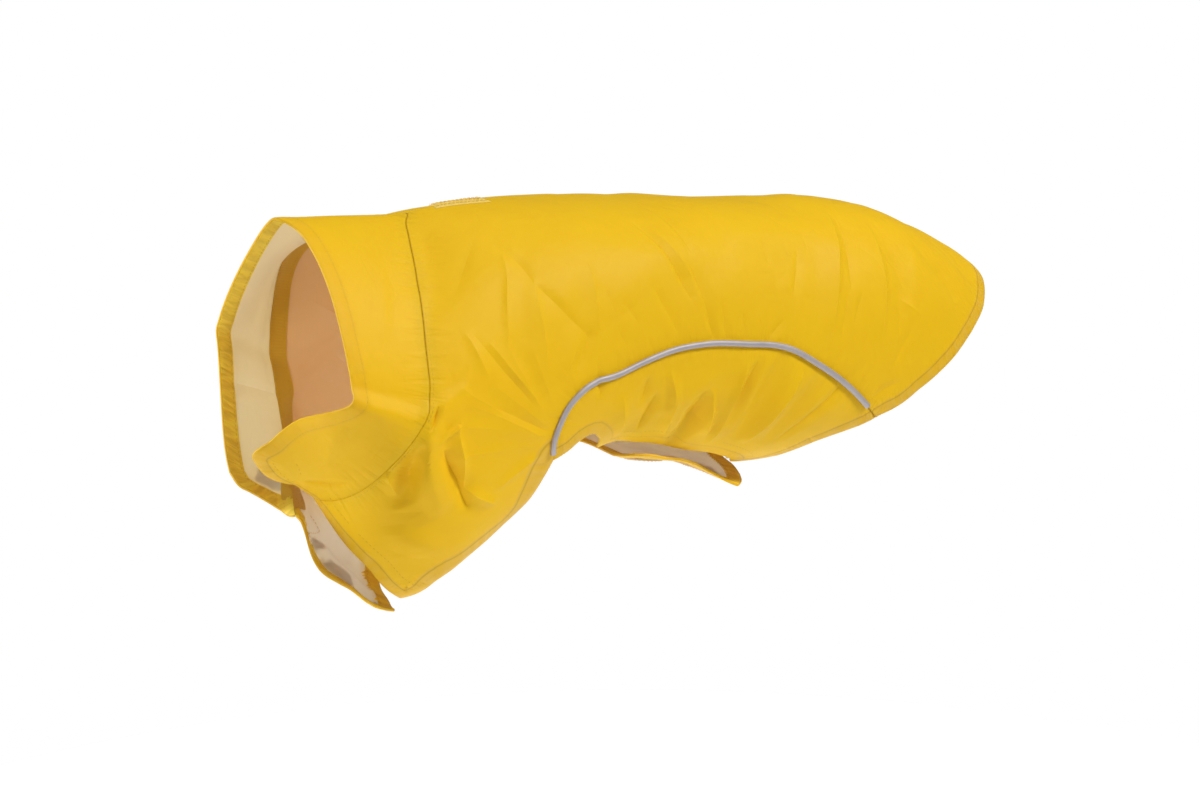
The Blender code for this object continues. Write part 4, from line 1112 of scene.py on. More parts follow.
def coated_cloth(name, colour, shade, hem_colour, calm_from, calm_to):
    """Yellow cloth with a soft coating: a faint weave, small creases, and puckers at stitches."""
    cloth = Recipe(name, 0.55, Specular_IOR_Level=0.14, Coat_Roughness=0.45,
                   Subsurface_Weight=0.25, Subsurface_Radius=(1.0, 0.8, 0.4),
                   Subsurface_Scale=0.003)
    places = cloth.cloth_places()
    blotch = cloth.noise(places, 16.0, 3.0)
    fine = cloth.noise(places, 90.0, 4.0, 0.4)
    away = cloth.attribute("hem_away")
    along = cloth.attribute("hem_along")
    seam_away = cloth.attribute("seam_away")
    seam_along = cloth.attribute("seam_along")
    band = cloth.clamp(cloth.node("ShaderNodeMath", {"operation": "SMOOTH_MIN"}, {
        0: (BAND_EDGE - away) * 2.0, 1: 1.0, 2: BAND_SOFTNESS}))
    groove = cloth.bell(away - GROOVE_PLACE, GROOVE_REACH)
    near_stitches = cloth.bell(away - PUCKER_PLACE, PUCKER_REACH)
    near_seam = cloth.bell(seam_away, SEAM_PUCKER_REACH)
    # puckers are long across the hem or the seam, and short along it
    pucker_at = cloth.node("ShaderNodeCombineXYZ", None, {0: along * 0.16, 1: away * 0.045})
    pucker = cloth.noise(pucker_at, 1.0, 2.0, 0.3) - 0.5
    seam_at = cloth.node("ShaderNodeCombineXYZ", None, {0: seam_along * 0.17,
                                                        1: seam_away * 0.025, 2: 7.0})
    seam_pucker = cloth.noise(seam_at, 1.0, 2.0, 0.3) - 0.5
    wide_creases = cloth.noise(places, 34.0, 1.0, 0.5) - 0.5
    small_creases = cloth.noise(places, 80.0, 1.0, 0.5) - 0.5
    ridged = wide_creases.math("ABSOLUTE", wide_creases) * 0.0022
    ridged = ridged + small_creases.math("ABSOLUTE", small_creases) * 0.0007
    height = weave(cloth, places, 0.6) * WEAVE_HEIGHT
    height = height + ridged * blotch * blotch * 2.0 + fine * 0.00005
    # along the stretch of edge that is calm, the hem lies flat and hardly shows
    early = cloth.clamp((calm_from - along) / CALM_FADE)
    late = cloth.clamp((along - calm_to) / CALM_FADE)
    busy = CALM_REST + (early + late) * (1.0 - CALM_REST)
    height = height + pucker * near_stitches * busy * PUCKER_HEIGHT
    height = height - groove * busy * GROOVE_DEPTH + seam_pucker * near_seam * SEAM_PUCKER_HEIGHT
    cloth.relief(height)
    # painted light and shade of the puckers: the hem's colour is paler where they rise
    pucker_painted_light = cloth.clamp(pucker * 3.0 + 0.35)
    body = cloth.tone(band * busy * BAND_COVER, cloth.tone(blotch, colour, shade),
                      cloth.tone(pucker_painted_light, hem_colour, PUCKER_PAINTED_LIGHT))
    # painted shadow in the seam, dark over the shoulders and fading to the throat, and in the
    # stitch groove
    painted_seam_shadow = cloth.clamp((SEAM_SHADOW_EDGE - seam_away) * 1.6)
    high = cloth.clamp((seam_along - SHADOW_FROM) / SHADOW_OVER)
    shadow = cloth.node("ShaderNodeMath", {"operation": "MAXIMUM"}, {
        0: painted_seam_shadow * (0.03 + high * 0.6), 1: groove * busy * 0.6})
    cloth.feed("Base Color", cloth.tone(shadow, body, SEAM_AND_GROOVE_PAINTED_SHADOW))
    cloth.feed("Roughness", 0.50 + blotch * 0.12 + fine * 0.06)
    cloth.feed("Coat Weight", 0.02 + blotch * 0.07)
    return cloth.material


def bare_cloth(name, colour, shade, lit_low_colour):
    """The cloth's uncoated inside: matt, beige, with a fine weave and soft creases, painted paler
    low down.
    """
    cloth = Recipe(name, 0.8, Sheen_Weight=0.15, Subsurface_Weight=0.7,
                   Subsurface_Radius=(1.0, 0.9, 0.8), Subsurface_Scale=0.003)
    places = cloth.cloth_places()
    blotch = cloth.noise(places, 9.0, 3.0)
    creases = cloth.noise(places, 34.0, 3.0, 0.8)
    cloth.relief(weave(cloth, places, 0.8) * BARE_WEAVE_HEIGHT + creases * 0.0005)
    # painted light: it is paler low on the chest, where light comes in
    round_ = cloth.node("ShaderNodeSeparateXYZ", None, {0: places}, out=1)
    low = cloth.clamp((round_.math("ABSOLUTE", round_) - LOW_FROM) * 14.0)
    cloth.feed("Base Color", cloth.tone(low, cloth.tone(blotch, colour, shade), lit_low_colour))
    return cloth.material


def turned_hem(name, colour, shade):
    """The coated side where it is turned in at a hem: crumpled between the stitches, in painted
    light.
    """
    cloth = Recipe(name, 0.65, Specular_IOR_Level=0.2, Subsurface_Weight=0.5,
                   Subsurface_Radius=(1.0, 0.8, 0.4), Subsurface_Scale=0.003)
    away = cloth.attribute("hem_away")
    along = cloth.attribute("hem_along")
    pucker_at = cloth.node("ShaderNodeCombineXYZ", None, {0: along * 0.22 + away * 0.12,
                                                         1: away * 0.06})
    pucker = cloth.noise(pucker_at, 1.0, 3.0, 0.4)
    cloth.relief(pucker * 0.0016)
    # painted shade: darker where the crumples rise
    cloth.feed("Base Color", cloth.tone(cloth.clamp((pucker - 0.5) * 3.5 + 0.45), colour, shade))
    return cloth.material


NO_CALM = (-100.0, -50.0)  # the hem is nowhere calm
outside_cloth = coated_cloth("yellow_coated_cloth", YELLOW, YELLOW_SHADE, YELLOW_HEM, *NO_CALM)
inside_cloth = bare_cloth("beige_cloth_back", SHADED_BEIGE, SHADED_BEIGE_DARK, LOW_LIT_BEIGE)
turned_lit_cloth = turned_hem("yellow_turned_hem", TURNED_YELLOW_PAINTED_LIGHT, TURNED_PAINTED_CRUMPLE_SHADE)

SEAM_RISE = 0.12          # how far the back panel rises to its seams
WIDE_HEM_FROM = 95.0      # from here along the left chest's edge its hem looks wider
half_gap = SEAM_GAP / 2
back_outline = np.concatenate([
    chest_left_run[1:-1], inset(seam_left, half_gap), tail_run[1:-1],
    inset(seam_right, half_gap), chest_right_run[1:-1],
    np.stack([np.full(SEAM_PLACES, half_gap), collar_seam_round[::-1]], axis=1),
])
leash_slot = box_loop(SLOT_MIDDLE, SLOT_LENGTH, SLOT_WIDTH, FACET)
back_cloth = cut_cloth(back_outline, hem_lines((chest_left_run, chest_right_run, tail_run)),
                       (leash_slot,))
back_panel = sewn_panel("back_panel_cloth", back_cloth,
                        (chest_left_run, chest_right_run, tail_run),
                        (seam_left, seam_right, collar_seam_run),
                        (outside_cloth, inside_cloth, turned_lit_cloth), SEAM_RISE, WIDE_HEM_FROM)
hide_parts("back_panel", "hem_chest_left", "hem_chest_right", "hem_tail")


# ---------------------------------------------------------------- side panels
# Two pieces of the same cloth under the side seams, shaped to the front legs. The left one ends
# low on the left side; the right one goes on under the belly and hangs a little open.
ARMHOLE_LEFT = ((106, -216), (112, -210), (116, -203), (121, -200), (126, -205), (134, -224))
BELLY_EDGE_LEFT = (
    (134, -224), (142, -223), (153, -226), (176, -226), (201, -234), (228, -239), (243, -245),
    (252, -257),
)
BELLY_HEM_LEFT = (
    (252, -257), (263, -259), (271, -256), (278, -247), (291, -231), (307, -217), (326, -204),
    (336, -197),
)
ARMHOLE_RIGHT = (
    (106, 216), (112, 210), (118, 206), (128, 215), (145, 235), (158, 255), (164, 272),
    (163, 290), (159, 305), (162, 318),
)
BELLY_EDGE_RIGHT = ((162, 318), (182, 325), (200, 324), (217, 319), (235, 313), (254, 317))
BELLY_HEM_RIGHT = (
    (254, 317), (265, 306), (273, 288), (276, 268), (282, 250), (293, 232), (307, 217),
    (326, 204), (336, 197),
)
belly_inside = bare_cloth("beige_cloth_belly", LIT_BEIGE, LIT_BEIGE, LOW_LIT_BEIGE)
belly_left_run = join_edges(cut_edge(ARMHOLE_LEFT), cut_edge(BELLY_EDGE_LEFT),
                            cut_edge(BELLY_HEM_LEFT))
belly_right_run = join_edges(cut_edge(backwards(BELLY_HEM_RIGHT)),
                             cut_edge(backwards(BELLY_EDGE_RIGHT)),
                             cut_edge(backwards(ARMHOLE_RIGHT)))
BELLY_CALM = (60.0, 165.0)  # the stretch of hem that is calm, in millimetres along it
SIDE_SEAM_DIP = -0.4
side_outside = coated_cloth("yellow_coated_cloth_side", YELLOW, YELLOW_SHADE, YELLOW_HEM,
                            *BELLY_CALM)
for side, run, seam in (("left", belly_left_run, seam_left),
                        ("right", belly_right_run, seam_right)):
    outline = np.concatenate([run[1:-1], inset(seam[::-1], half_gap)])
    panel = sewn_panel("side_panel_" + side + "_cloth", cut_cloth(outline, hem_lines((run,))),
                       (run,), (seam,), (side_outside, belly_inside, turned_lit_cloth),
                       SIDE_SEAM_DIP)
    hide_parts("side_panel_" + side, "hem_side_" + side)


# ---------------------------------------------------------------- collar
# One wide band of the same cloth, sewn to the back panel. Its front edge is hemmed, and its left
# end is tucked across the throat in front of its right end.
COLLAR_END_LEFT = (
    (-82, -266), (-76, -277), (-62, -287), (-42, -291), (-22, -286), (-8, -278), (0, -272),
)
COLLAR_END_RIGHT = ((0, 256), (-20, 240), (-40, 233), (-60, 228), (-74, 222), (-80, 212))
COLLAR_FRONT = (
    (-80, 212), (-80, 180), (-83, 140), (-88, 100), (-90, 60), (-90, 30), (-88, 0), (-82, -20),
    (-80, -50), (-80, -130), (-79, -160), (-86, -180), (-93, -203), (-96, -222), (-93, -243),
    (-82, -266),
)
collar_run = join_edges(cut_edge(COLLAR_END_RIGHT), cut_edge(COLLAR_FRONT),
                        cut_edge(COLLAR_END_LEFT))
collar_outline = np.concatenate([
    np.stack([np.full(SEAM_PLACES, -half_gap), collar_seam_round], axis=1), collar_run[1:-1],
])
COLLAR_CALM = (130.0, 470.0)  # the front edge, in millimetres along the hem
COLLAR_SEAM_DIP = -0.3
collar_outside = coated_cloth("yellow_coated_cloth_collar", YELLOW, YELLOW_SHADE, YELLOW_HEM,
                              *COLLAR_CALM)
collar_inside = bare_cloth("beige_cloth_collar", LIT_BEIGE, LIT_BEIGE_DARK, LIT_BEIGE)
collar = sewn_panel("collar_cloth", cut_cloth(collar_outline, hem_lines((collar_run,))),
                    (collar_run,), (collar_seam_run,),
                    (collar_outside, collar_inside, turned_lit_cloth), COLLAR_SEAM_DIP)
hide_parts("collar", "hem_collar")


# ---------------------------------------------------------------- collar seam tape
# A strip of the cloth's coated side, sewn over the collar seam inside so that it keeps dry.
TAPE_WIDTH = 12.0
TAPE_WALL = 0.7
TAPE_UNDER = 0.25         # below the inside of the cloth
TAPE_SHORT = 6.0          # how far its ends are from the ends of the seam
TAPE_YELLOW = (0.74, 0.45, 0.03)
TAPE_SHADE = (0.66, 0.38, 0.02)


def ribbon(name, run, width, top, wall, materials, columns=5, ripple=0.0, margin=0.0,
           last_along=TAIL_END):
    """A closed flat wall that follows a run and lies to its left, at a height over the cloth.

    Its edges ripple a little, and nothing of it lies further along the back than last_along.
    """
    rows = len(run)
    wave = np.random.default_rng(rows).uniform(-ripple, ripple, rows)
    lanes = []
    for share in np.linspace(0.0, 1.0, columns):
        edge = wave * (abs(share - 0.5) * 2)**6
        lane = inset(run, margin + share * width + edge)
        lane[:, 0] = np.minimum(lane[:, 0], last_along)
        lanes.append(lane)
    places = np.stack(lanes, axis=1).reshape(-1, 2)
    count = len(places)
    points = np.concatenate([coat.at(places, top), coat.at(places, top - wall)])
    faces = []
    for i in range(rows - 1):
        for j in range(columns - 1):
            a = i * columns + j
            b, c, d = a + columns, a + columns + 1, a + 1
            faces.append((a, b, c, d))
            faces.append((d + count, c + count, b + count, a + count))
    loop = [i * columns for i in range(rows)]
    loop += [(rows - 1) * columns + j for j in range(1, columns)]
    loop += [i * columns + columns - 1 for i in range(rows - 2, -1, -1)]
    loop += [j for j in range(columns - 2, 0, -1)]
    for a, b in zip(loop, loop[1:] + loop[:1]):
        faces.append((b, a, a + count, b + count))
    across = np.tile(np.linspace(0.0, width, columns), rows)
    down = np.repeat(np.arange(rows) * FACET, columns)
    flat_places = np.stack([down, across], axis=1)
    return finished_piece(name, points, faces, [0] * len(faces), materials,
                          np.concatenate([flat_places, flat_places]), {})


def woven_tape(name, colour, shade, roughness):
    """Woven tape with ribs across it."""
    tape = Recipe(name, roughness, Sheen_Weight=0.2)
    places = tape.cloth_places()
    ribs = tape.node("ShaderNodeTexWave", {"bands_direction": "X"}, {
        "Vector": places, "Scale": 200.0, "Distortion": 1.0, "Detail": 2.0})
    blotch = tape.noise(places, 60.0, 3.0)
    tape.relief(ribs * 0.00006 + blotch * 0.0003)
    tape.feed("Base Color", tape.tone(blotch, colour, shade))
    return tape.material


seam_cloth = woven_tape("yellow_seam_tape", TAPE_YELLOW, TAPE_SHADE, 0.6)
tape_middle = evenly(collar_seam_run, FACET, TAPE_SHORT, TAPE_SHORT)
seam_tape = ribbon("collar_seam_tape_cloth", tape_middle, TAPE_WIDTH, -CLOTH - TAPE_UNDER,
                   TAPE_WALL, (seam_cloth,), columns=7, margin=-TAPE_WIDTH / 2)
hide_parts("collar_seam_tape")


# ---------------------------------------------------------------- piping
# Grey reflective tape folded round a cord and sewn into each side seam, so that it stands up
# between the back panel and the side panel.
PIPING_WIDTH = 4.1
PIPING_HEIGHT = 3.3
PIPING_SIDES = 14
PIPING_MIDDLE = 0.36      # of its height above the cloth
PIPING_BOTTOM = -0.2
PIPING_SHORT_HEAD = 7.0   # how far it ends from the seam's front end,
PIPING_SHORT_TAIL = 16.0  # and from its rear end
REFLECTIVE_GREY = (0.48, 0.44, 0.45)
REFLECTIVE_SHADE = (0.38, 0.35, 0.36)


def piping(name, run, material):
    """A closed round cord along a run, flattened where it lies on the cloth."""
    angles = np.linspace(0.0, 2 * np.pi, PIPING_SIDES, endpoint=False)
    rings = []
    for angle in angles:
        beside = inset(run, np.cos(angle) * PIPING_WIDTH / 2)
        up = PIPING_HEIGHT * (PIPING_MIDDLE + 0.5 * np.sin(angle))
        rings.append(coat.at(beside, max(up, PIPING_BOTTOM)))
    points = np.stack(rings, axis=1).reshape(-1, 3)
    faces = []
    for k in range(len(run) - 1):
        for c in range(PIPING_SIDES):
            a = k * PIPING_SIDES + c
            b = k * PIPING_SIDES + (c + 1) % PIPING_SIDES
            faces.append((a, a + PIPING_SIDES, b + PIPING_SIDES, b))
    last = (len(run) - 1) * PIPING_SIDES
    faces.append(tuple(range(PIPING_SIDES)))
    faces.append(tuple(last + c for c in reversed(range(PIPING_SIDES))))
    down = np.repeat(np.arange(len(run)) * FACET, PIPING_SIDES)
    around = np.tile(angles * PIPING_WIDTH / 2, len(run))
    return finished_piece(name, points, faces, [0] * len(faces), (material,),
                          np.stack([down, around], axis=1), {})


def reflective_tape(name, colour, shade):
    """Tape coated with fine glass beads: grey, a little bright, with small wrinkles."""
    tape = Recipe(name, 0.5, Metallic=0.25)
    places = tape.cloth_places()
    beads = tape.noise(places, 900.0, 2.0)
    wrinkles = tape.noise(places, 110.0, 3.0, 0.5)
    tape.relief(beads * 0.00003 + wrinkles * 0.0005)
    tape.feed("Base Color", tape.tone(wrinkles, colour, shade))
    tape.feed("Roughness", 0.42 + beads * 0.2)
    return tape.material


grey_tape = reflective_tape("grey_reflective_tape", REFLECTIVE_GREY, REFLECTIVE_SHADE)
piping_left = piping("piping_left_tape", evenly(
    seam_left, FACET, PIPING_SHORT_HEAD, PIPING_SHORT_TAIL), grey_tape)
piping_right = piping("piping_right_tape", evenly(
    seam_right, FACET, PIPING_SHORT_TAIL, PIPING_SHORT_HEAD), grey_tape)
for piece, node in ((piping_left, "piping_left"), (piping_right, "piping_right")):
    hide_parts(node)


# ---------------------------------------------------------------- leash slot
# A slot in the back for the leash, edged by a welt: a folded patch of the same cloth stitched
# down round it, whose two lips nearly meet.
WELT_BORDER = 5.0         # past the slot, all round it
WELT_LIP_GAP = 1.2
WELT_LIP_ENDS = 4.0       # how much shorter the gap is than the slot
WELT_HEIGHT = 1.3
WELT_ROUNDING = 0.9       # over which it rises from its edges to its height
WELT_EDGE = 0.15          # by which the edges are blunt
WELT_LIFT = 0.15
WELT_UNDERSIDE = 0.1
WELT_STEP = 2.0
WELT_YELLOW = (0.90, 0.62, 0.14)

welt_loop = box_loop(SLOT_MIDDLE, SLOT_LENGTH + 2 * WELT_BORDER, SLOT_WIDTH + 2 * WELT_BORDER,
                     WELT_STEP)
slit_loop = box_loop(SLOT_MIDDLE, SLOT_LENGTH - WELT_LIP_ENDS, WELT_LIP_GAP, WELT_STEP)


def welt_patch(name, outer_loop, hole, material):
    """A padded patch round a slit, rounded off at its outer edge and along the slit."""
    places, triangles = cut_cloth(outer_loop, (), (hole,))
    outer_away = nearest_on(closed_run(outer_loop), places)[0]
    hole_away = nearest_on(closed_run(hole), places)[0]
    edge_away = np.minimum(outer_away, hole_away)
    swell = WELT_HEIGHT * (1 - np.exp(-(edge_away + WELT_EDGE) / WELT_ROUNDING))
    count = len(places)
    points = np.concatenate([coat.at(places, WELT_LIFT + swell),
                             coat.at(places, WELT_UNDERSIDE)])
    faces = two_faces(triangles, count)
    faces += [(b, a, a + count, b + count) for a, b in open_edges(triangles)]
    far_away = np.full(2 * count, FAR_AWAY)
    nowhere = np.zeros(2 * count)
    marks = {"hem_away": far_away, "hem_along": nowhere,
             "seam_away": far_away, "seam_along": nowhere}
    return finished_piece(name, points, faces, [0] * len(faces), (material,),
                          np.concatenate([places, places]), marks)


welt_finish = coated_cloth("yellow_welt_cloth", WELT_YELLOW, WELT_YELLOW, WELT_YELLOW, *NO_CALM)
welt = welt_patch("leash_welt_cloth", welt_loop, slit_loop, welt_finish)
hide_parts("leash_welt")


# ---------------------------------------------------------------- hook and loop strips
# Cream tape with hooks inside the left edges and with loops outside the right flaps, sewn on
# near the edges. On the chest and the belly the hook tape stands one to three millimetres proud
# of the edge that it lies behind.
STRIP_WIDTH = 20.0
STRIP_WALL = 0.9
STRIP_STEP = 1.5
STRIP_RIPPLE = 0.35
LOOPS_OVER = 0.15         # gaps between the tape and the cloth
HOOKS_UNDER = 0.1
STRIP_CREAM = (0.86, 0.70, 0.52)
STRIP_SHADE = (0.76, 0.58, 0.40)
# start and end are shares of the edge, margin is the distance from it in millimetres
Strip = namedtuple("Strip", "name edge start end margin last_along", defaults=(TAIL_END,))
STRIPS = (
    Strip("hook_chest_upper", "chest_left", 0.04, 0.30, -1.3),
    Strip("hook_chest_lower", "chest_left", 0.36, 0.92, -1.3),
    Strip("hook_belly_front", "belly_left", 0.04, 0.44, -3.0),
    Strip("hook_belly_rear", "belly_left", 0.70, 0.98, -3.0),
    Strip("hook_collar", "collar_left", 0.30, 0.78, 10.6),
    Strip("loop_chest_upper", "chest_right", 0.68, 0.90, 13.0),
    Strip("loop_chest_lower", "chest_right", 0.18, 0.56, 13.0),
    Strip("loop_belly_front", "belly_right", 0.62, 0.94, 13.0),
    Strip("loop_belly_rear", "belly_right", 0.08, 0.32, 13.0),
    Strip("loop_collar", "collar_right", 0.24, 0.72, 13.0, -2.5),
)
STRIP_EDGE_STEP = 1.6
strip_edges = {}
for edge_name, table in (
        ("chest_left", CHEST_FRONT_LEFT), ("chest_right", backwards(CHEST_FRONT_RIGHT)),
        ("belly_left", BELLY_EDGE_LEFT), ("belly_right", backwards(BELLY_EDGE_RIGHT)),
        ("collar_left", COLLAR_END_LEFT), ("collar_right", COLLAR_END_RIGHT)):
    strip_edges[edge_name] = cut_edge(table, STRIP_EDGE_STEP)


def hook_and_loop(name, colour, shade):
    """Fuzzy tape: small hooks or loops all over it."""
    tape = Recipe(name, 0.9, Sheen_Weight=0.3)
    places = tape.cloth_places()
    tufts = tape.node("ShaderNodeTexVoronoi", {"feature": "F1"}, {
        "Vector": places, "Scale": 850.0})
    fluff = tape.noise(places, 500.0, 4.0, 1.0)
    tape.relief((1.0 - tufts) * 0.00022 + fluff * 0.00018)
    tape.feed("Base Color", tape.tone(fluff, colour, shade))
    return tape.material


cream_strip = hook_and_loop("cream_hook_and_loop", STRIP_CREAM, STRIP_SHADE)
for strip in STRIPS:
    run = evenly(part_of(strip_edges[strip.edge], strip.start, strip.end), STRIP_STEP)
    if strip.edge.endswith("right"):
        top = LOOPS_OVER + STRIP_WALL
    else:
        top = -(HEM_DEPTH if strip.margin < 0 else CLOTH) - HOOKS_UNDER
    piece = ribbon(strip.name + "_tape", run, STRIP_WIDTH, top, STRIP_WALL, (cream_strip,),
                   columns=9, ripple=STRIP_RIPPLE, margin=strip.margin,
                   last_along=strip.last_along)
    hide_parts(strip.name)


# ---------------------------------------------------------------- stitching
# Yellow thread along every hem, on both faces, beside the collar seam, on both edges of its
# tape, round the welt and down both sides of the strips: a short stitch every three millimetres.
STITCH_PITCH = 3.0
STITCH_LENGTH = 2.3
STITCH_SIDES = STITCH_ROWS = 6
THREAD = 0.34             # its thickness
THREAD_YELLOW = (0.74, 0.43, 0.015)
THREAD_SHADE = (0.64, 0.36, 0.012)


def thread_finish(name, colour, shade):
    """Twisted thread, a little shiny."""
    thread = Recipe(name, 0.55)
    coords = thread.node("ShaderNodeTexCoord", None, None, out=3)
    twist = thread.noise(coords, 2600.0, 2.0)
    thread.relief(twist * 0.00004)
    thread.feed("Base Color", thread.tone(twist, colour, shade))
    return thread.material


def stitch_shape():
    """One stitch: a short thread, thin at both ends, where it dips into the cloth."""
    points = []
    for k in range(STITCH_ROWS + 1):
        share = k / STITCH_ROWS
        lift = np.sin(share * np.pi)**0.6 * 0.55 - 0.35
        thick = 0.35 + 0.65 * np.sin(share * np.pi)**0.5
        for c in range(STITCH_SIDES):
            angle = 2 * np.pi * c / STITCH_SIDES
            points.append(((share - 0.5) * STITCH_LENGTH,
                           np.cos(angle) * THREAD / 2 * thick,
                           np.sin(angle) * THREAD / 2 * thick + lift * THREAD))
    faces = []
    for k in range(STITCH_ROWS):
        for c in range(STITCH_SIDES):
            a = k * STITCH_SIDES + c
            b = k * STITCH_SIDES + (c + 1) % STITCH_SIDES
            faces.append((a, b, b + STITCH_SIDES, a + STITCH_SIDES))
    faces.append(tuple(reversed(range(STITCH_SIDES))))
    faces.append(tuple(STITCH_ROWS * STITCH_SIDES + c for c in range(STITCH_SIDES)))
    mesh = bpy.data.meshes.new("one_stitch")
    mesh.from_pydata((np.array(points) * MM).tolist(), [], faces)
    mesh.shade_smooth()
    shape = bpy.data.objects.new("one_stitch", mesh)
    bpy.context.scene.collection.objects.link(shape)
    return shape


def stitch_tree(shape, material):
    """Geometry Nodes: stitches at an even pitch along lines of points that keep a way up."""
    tree = bpy.data.node_groups.new("stitches_along", "GeometryNodeTree")
    face = tree.interface
    face.new_socket("Geometry", in_out="INPUT", socket_type="NodeSocketGeometry")
    pitch = face.new_socket("Pitch", in_out="INPUT", socket_type="NodeSocketFloat")
    pitch.default_value = STITCH_PITCH * MM
    face.new_socket("Geometry", in_out="OUTPUT", socket_type="NodeSocketGeometry")
    nodes = tree.nodes
    start = nodes.new("NodeGroupInput")
    end = nodes.new("NodeGroupOutput")
    curve = nodes.new("GeometryNodeMeshToCurve")
    spread = nodes.new("GeometryNodeResampleCurve")
    spread.mode = "LENGTH"
    ends = nodes.new("GeometryNodeInputTangent")
    up = nodes.new("GeometryNodeInputNamedAttribute")
    up.data_type = "FLOAT_VECTOR"
    up.inputs["Name"].default_value = "way_up"
    along = nodes.new("FunctionNodeAlignRotationToVector")
    along.axis = "X"
    upright = nodes.new("FunctionNodeAlignRotationToVector")
    upright.axis = "Z"
    upright.pivot_axis = "X"
    stitch = nodes.new("GeometryNodeObjectInfo")
    stitch.inputs["Object"].default_value = shape
    lay = nodes.new("GeometryNodeInstanceOnPoints")
    real = nodes.new("GeometryNodeRealizeInstances")
    paint = nodes.new("GeometryNodeSetMaterial")
    paint.inputs["Material"].default_value = material
    link = tree.links.new
    link(start.outputs["Geometry"], curve.inputs["Mesh"])
    link(curve.outputs["Curve"], spread.inputs["Curve"])
    link(start.outputs["Pitch"], spread.inputs["Length"])
    link(spread.outputs["Curve"], lay.inputs["Points"])
    link(ends.outputs["Tangent"], along.inputs["Vector"])
    link(along.outputs["Rotation"], upright.inputs["Rotation"])
    link(up.outputs["Attribute"], upright.inputs["Vector"])
    link(upright.outputs["Rotation"], lay.inputs["Rotation"])
    link(stitch.outputs["Geometry"], lay.inputs["Instance"])
    link(lay.outputs["Instances"], real.inputs["Geometry"])
    link(real.outputs["Geometry"], paint.inputs["Geometry"])
    link(paint.outputs["Geometry"], end.inputs["Geometry"])
    return tree, pitch.identifier


def sew(name, lines, tree, pitch_socket):
    """Stitches along lines, each given as places on the cloth, a height, and up or down."""
    points = []
    ways = []
    edges = []
    for places, height, way in lines:
        first = len(points)
        points += coat.at(places, height).tolist()
        ways += (coat.normal_at(places) * way).tolist()
        edges += [(first + k, first + k + 1) for k in range(len(places) - 1)]
    mesh = bpy.data.meshes.new(name + "_lines")
    mesh.from_pydata(points, edges, [])
    made = mesh.attributes.new("way_up", "FLOAT_VECTOR", "POINT")
    made.data.foreach_set("vector", np.array(ways, dtype=np.float32).ravel())
    guide = bpy.data.objects.new(name + "_guide", mesh)
    bpy.context.scene.collection.objects.link(guide)
    modifier = guide.modifiers.new("stitches", "NODES")
    modifier.node_group = tree
    modifier[pitch_socket] = STITCH_PITCH * MM
    graph = bpy.context.evaluated_depsgraph_get()
    sewn = bpy.data.meshes.new_from_object(guide.evaluated_get(graph))
    sewn.name = name
    bpy.data.objects.remove(guide)
    piece = bpy.data.objects.new(name, sewn)
    bpy.context.scene.collection.objects.link(piece)
    sewn.shade_smooth()
    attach(piece, "root")
    return piece


yellow_thread = thread_finish("yellow_thread", THREAD_YELLOW, THREAD_SHADE)
one_stitch = stitch_shape()
stitches, pitch_socket = stitch_tree(one_stitch, yellow_thread)

# Where the lines of stitches are: their distances from the edges, and how deep they sink in
HEM_STITCH = 8.5
SEAM_STITCH = 2.4
TAPE_STITCH = 1.5
STRIP_STITCH = 1.8
WELT_STITCHES = (WELT_BORDER - 1.5, WELT_LIP_GAP - SLOT_WIDTH / 2 + 0.6)
SUNK = 0.05
LOOP_THREAD = 0.2         # heights of the thread over the loop tapes' own thickness,
HOOK_THREAD = 0.15        # and over the hook tapes'
TAPE_THREAD = 0.95        # over the inside of the cloth, on the seam tape
WELT_THREAD = 0.1
LINE_STEP = 1.5
HEM_LINE_SHORT, SEAM_LINE_SHORT = 2.0, 1.0  # how far the lines end from the ends of the edges
STRIP_LINE_SHORT = 0.02   # in shares of the edge
UP, DOWN = 1.0, -1.0


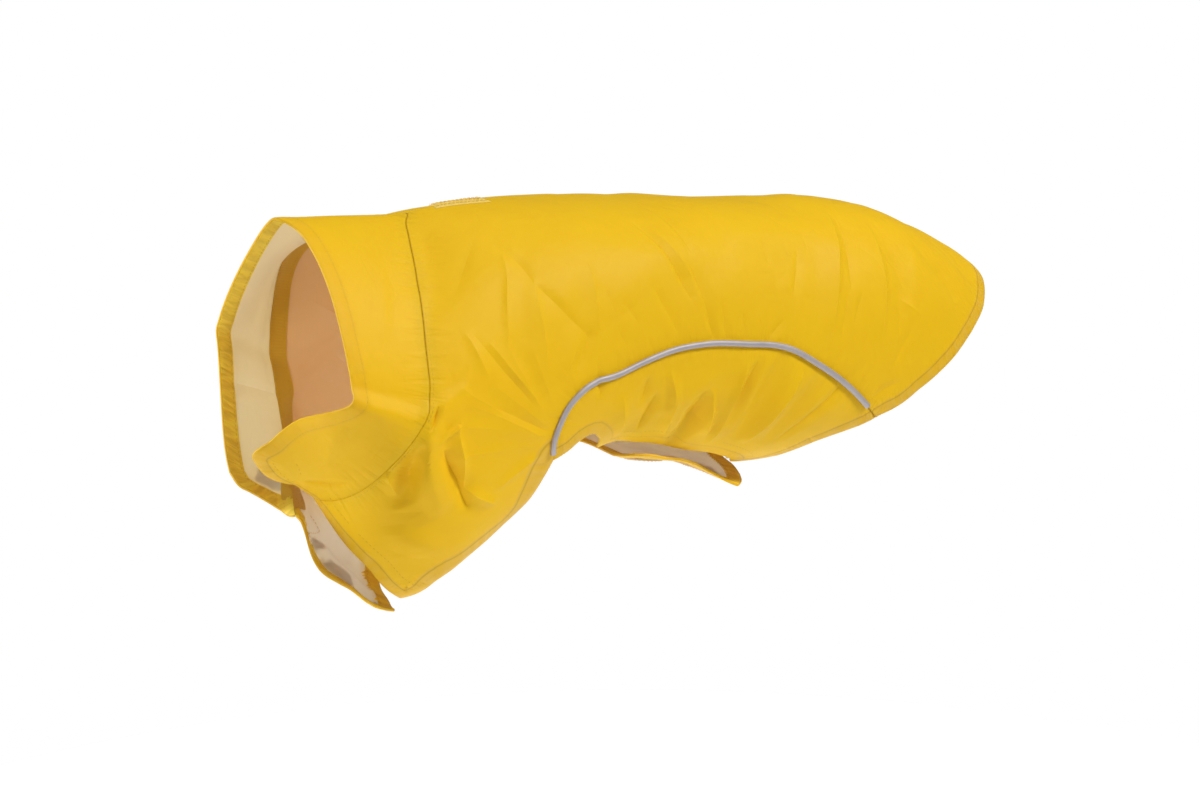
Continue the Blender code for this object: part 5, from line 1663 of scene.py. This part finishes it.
def hem_stitch_lines(run):
    line = evenly(inset(run, HEM_STITCH), LINE_STEP, HEM_LINE_SHORT, HEM_LINE_SHORT)
    return [(line, -SUNK, UP), (line, -HEM_DEPTH + SUNK, DOWN)]


def strip_stitch_lines(strip):
    """Two lines down a strip, which show on the coat's outside too where no hem hides them."""
    run = evenly(part_of(strip_edges[strip.edge], strip.start + STRIP_LINE_SHORT,
                         strip.end - STRIP_LINE_SHORT), LINE_STEP)
    lines = []
    for margin in (strip.margin + STRIP_STITCH, strip.margin + STRIP_WIDTH - STRIP_STITCH):
        line = inset(run, margin)
        if strip.edge.endswith("right"):
            lines.append((line, LOOP_THREAD + STRIP_WALL, UP))
        else:
            depth = HEM_DEPTH if strip.margin < 0 else CLOTH
            lines.append((line, -depth - HOOK_THREAD - STRIP_WALL, DOWN))
            if margin > HEM_STITCH:
                lines.append((line, -SUNK, UP))
    return lines


back_lines = hem_stitch_lines(chest_left_run) + hem_stitch_lines(chest_right_run)
back_lines += hem_stitch_lines(tail_run)
back_lines.append((evenly(collar_seam_run + (SEAM_STITCH, 0.0), LINE_STEP, SEAM_LINE_SHORT,
                          SEAM_LINE_SHORT), -SUNK, UP))
for margin in (-TAPE_WIDTH / 2 + TAPE_STITCH, TAPE_WIDTH / 2 - TAPE_STITCH):
    back_lines.append((evenly(inset(tape_middle, margin), LINE_STEP), -CLOTH - TAPE_THREAD,
                       DOWN))
for border in WELT_STITCHES:
    loop = box_loop(SLOT_MIDDLE, SLOT_LENGTH + 2 * border, SLOT_WIDTH + 2 * border, 1.0)
    back_lines.append((closed_run(loop), WELT_HEIGHT + WELT_THREAD, UP))
side_lines = hem_stitch_lines(belly_left_run) + hem_stitch_lines(belly_right_run)
collar_lines = hem_stitch_lines(collar_run)
lines_on = {"chest": back_lines, "belly": side_lines, "collar": collar_lines}
for strip in STRIPS:
    lines_on[strip.edge.split("_")[0]] += strip_stitch_lines(strip)
back_stitches = sew("back_panel_stitches", back_lines, stitches, pitch_socket)
side_stitches = sew("side_panel_stitches", side_lines, stitches, pitch_socket)
collar_stitches = sew("collar_stitches", collar_lines, stitches, pitch_socket)
bpy.data.objects.remove(one_stitch)
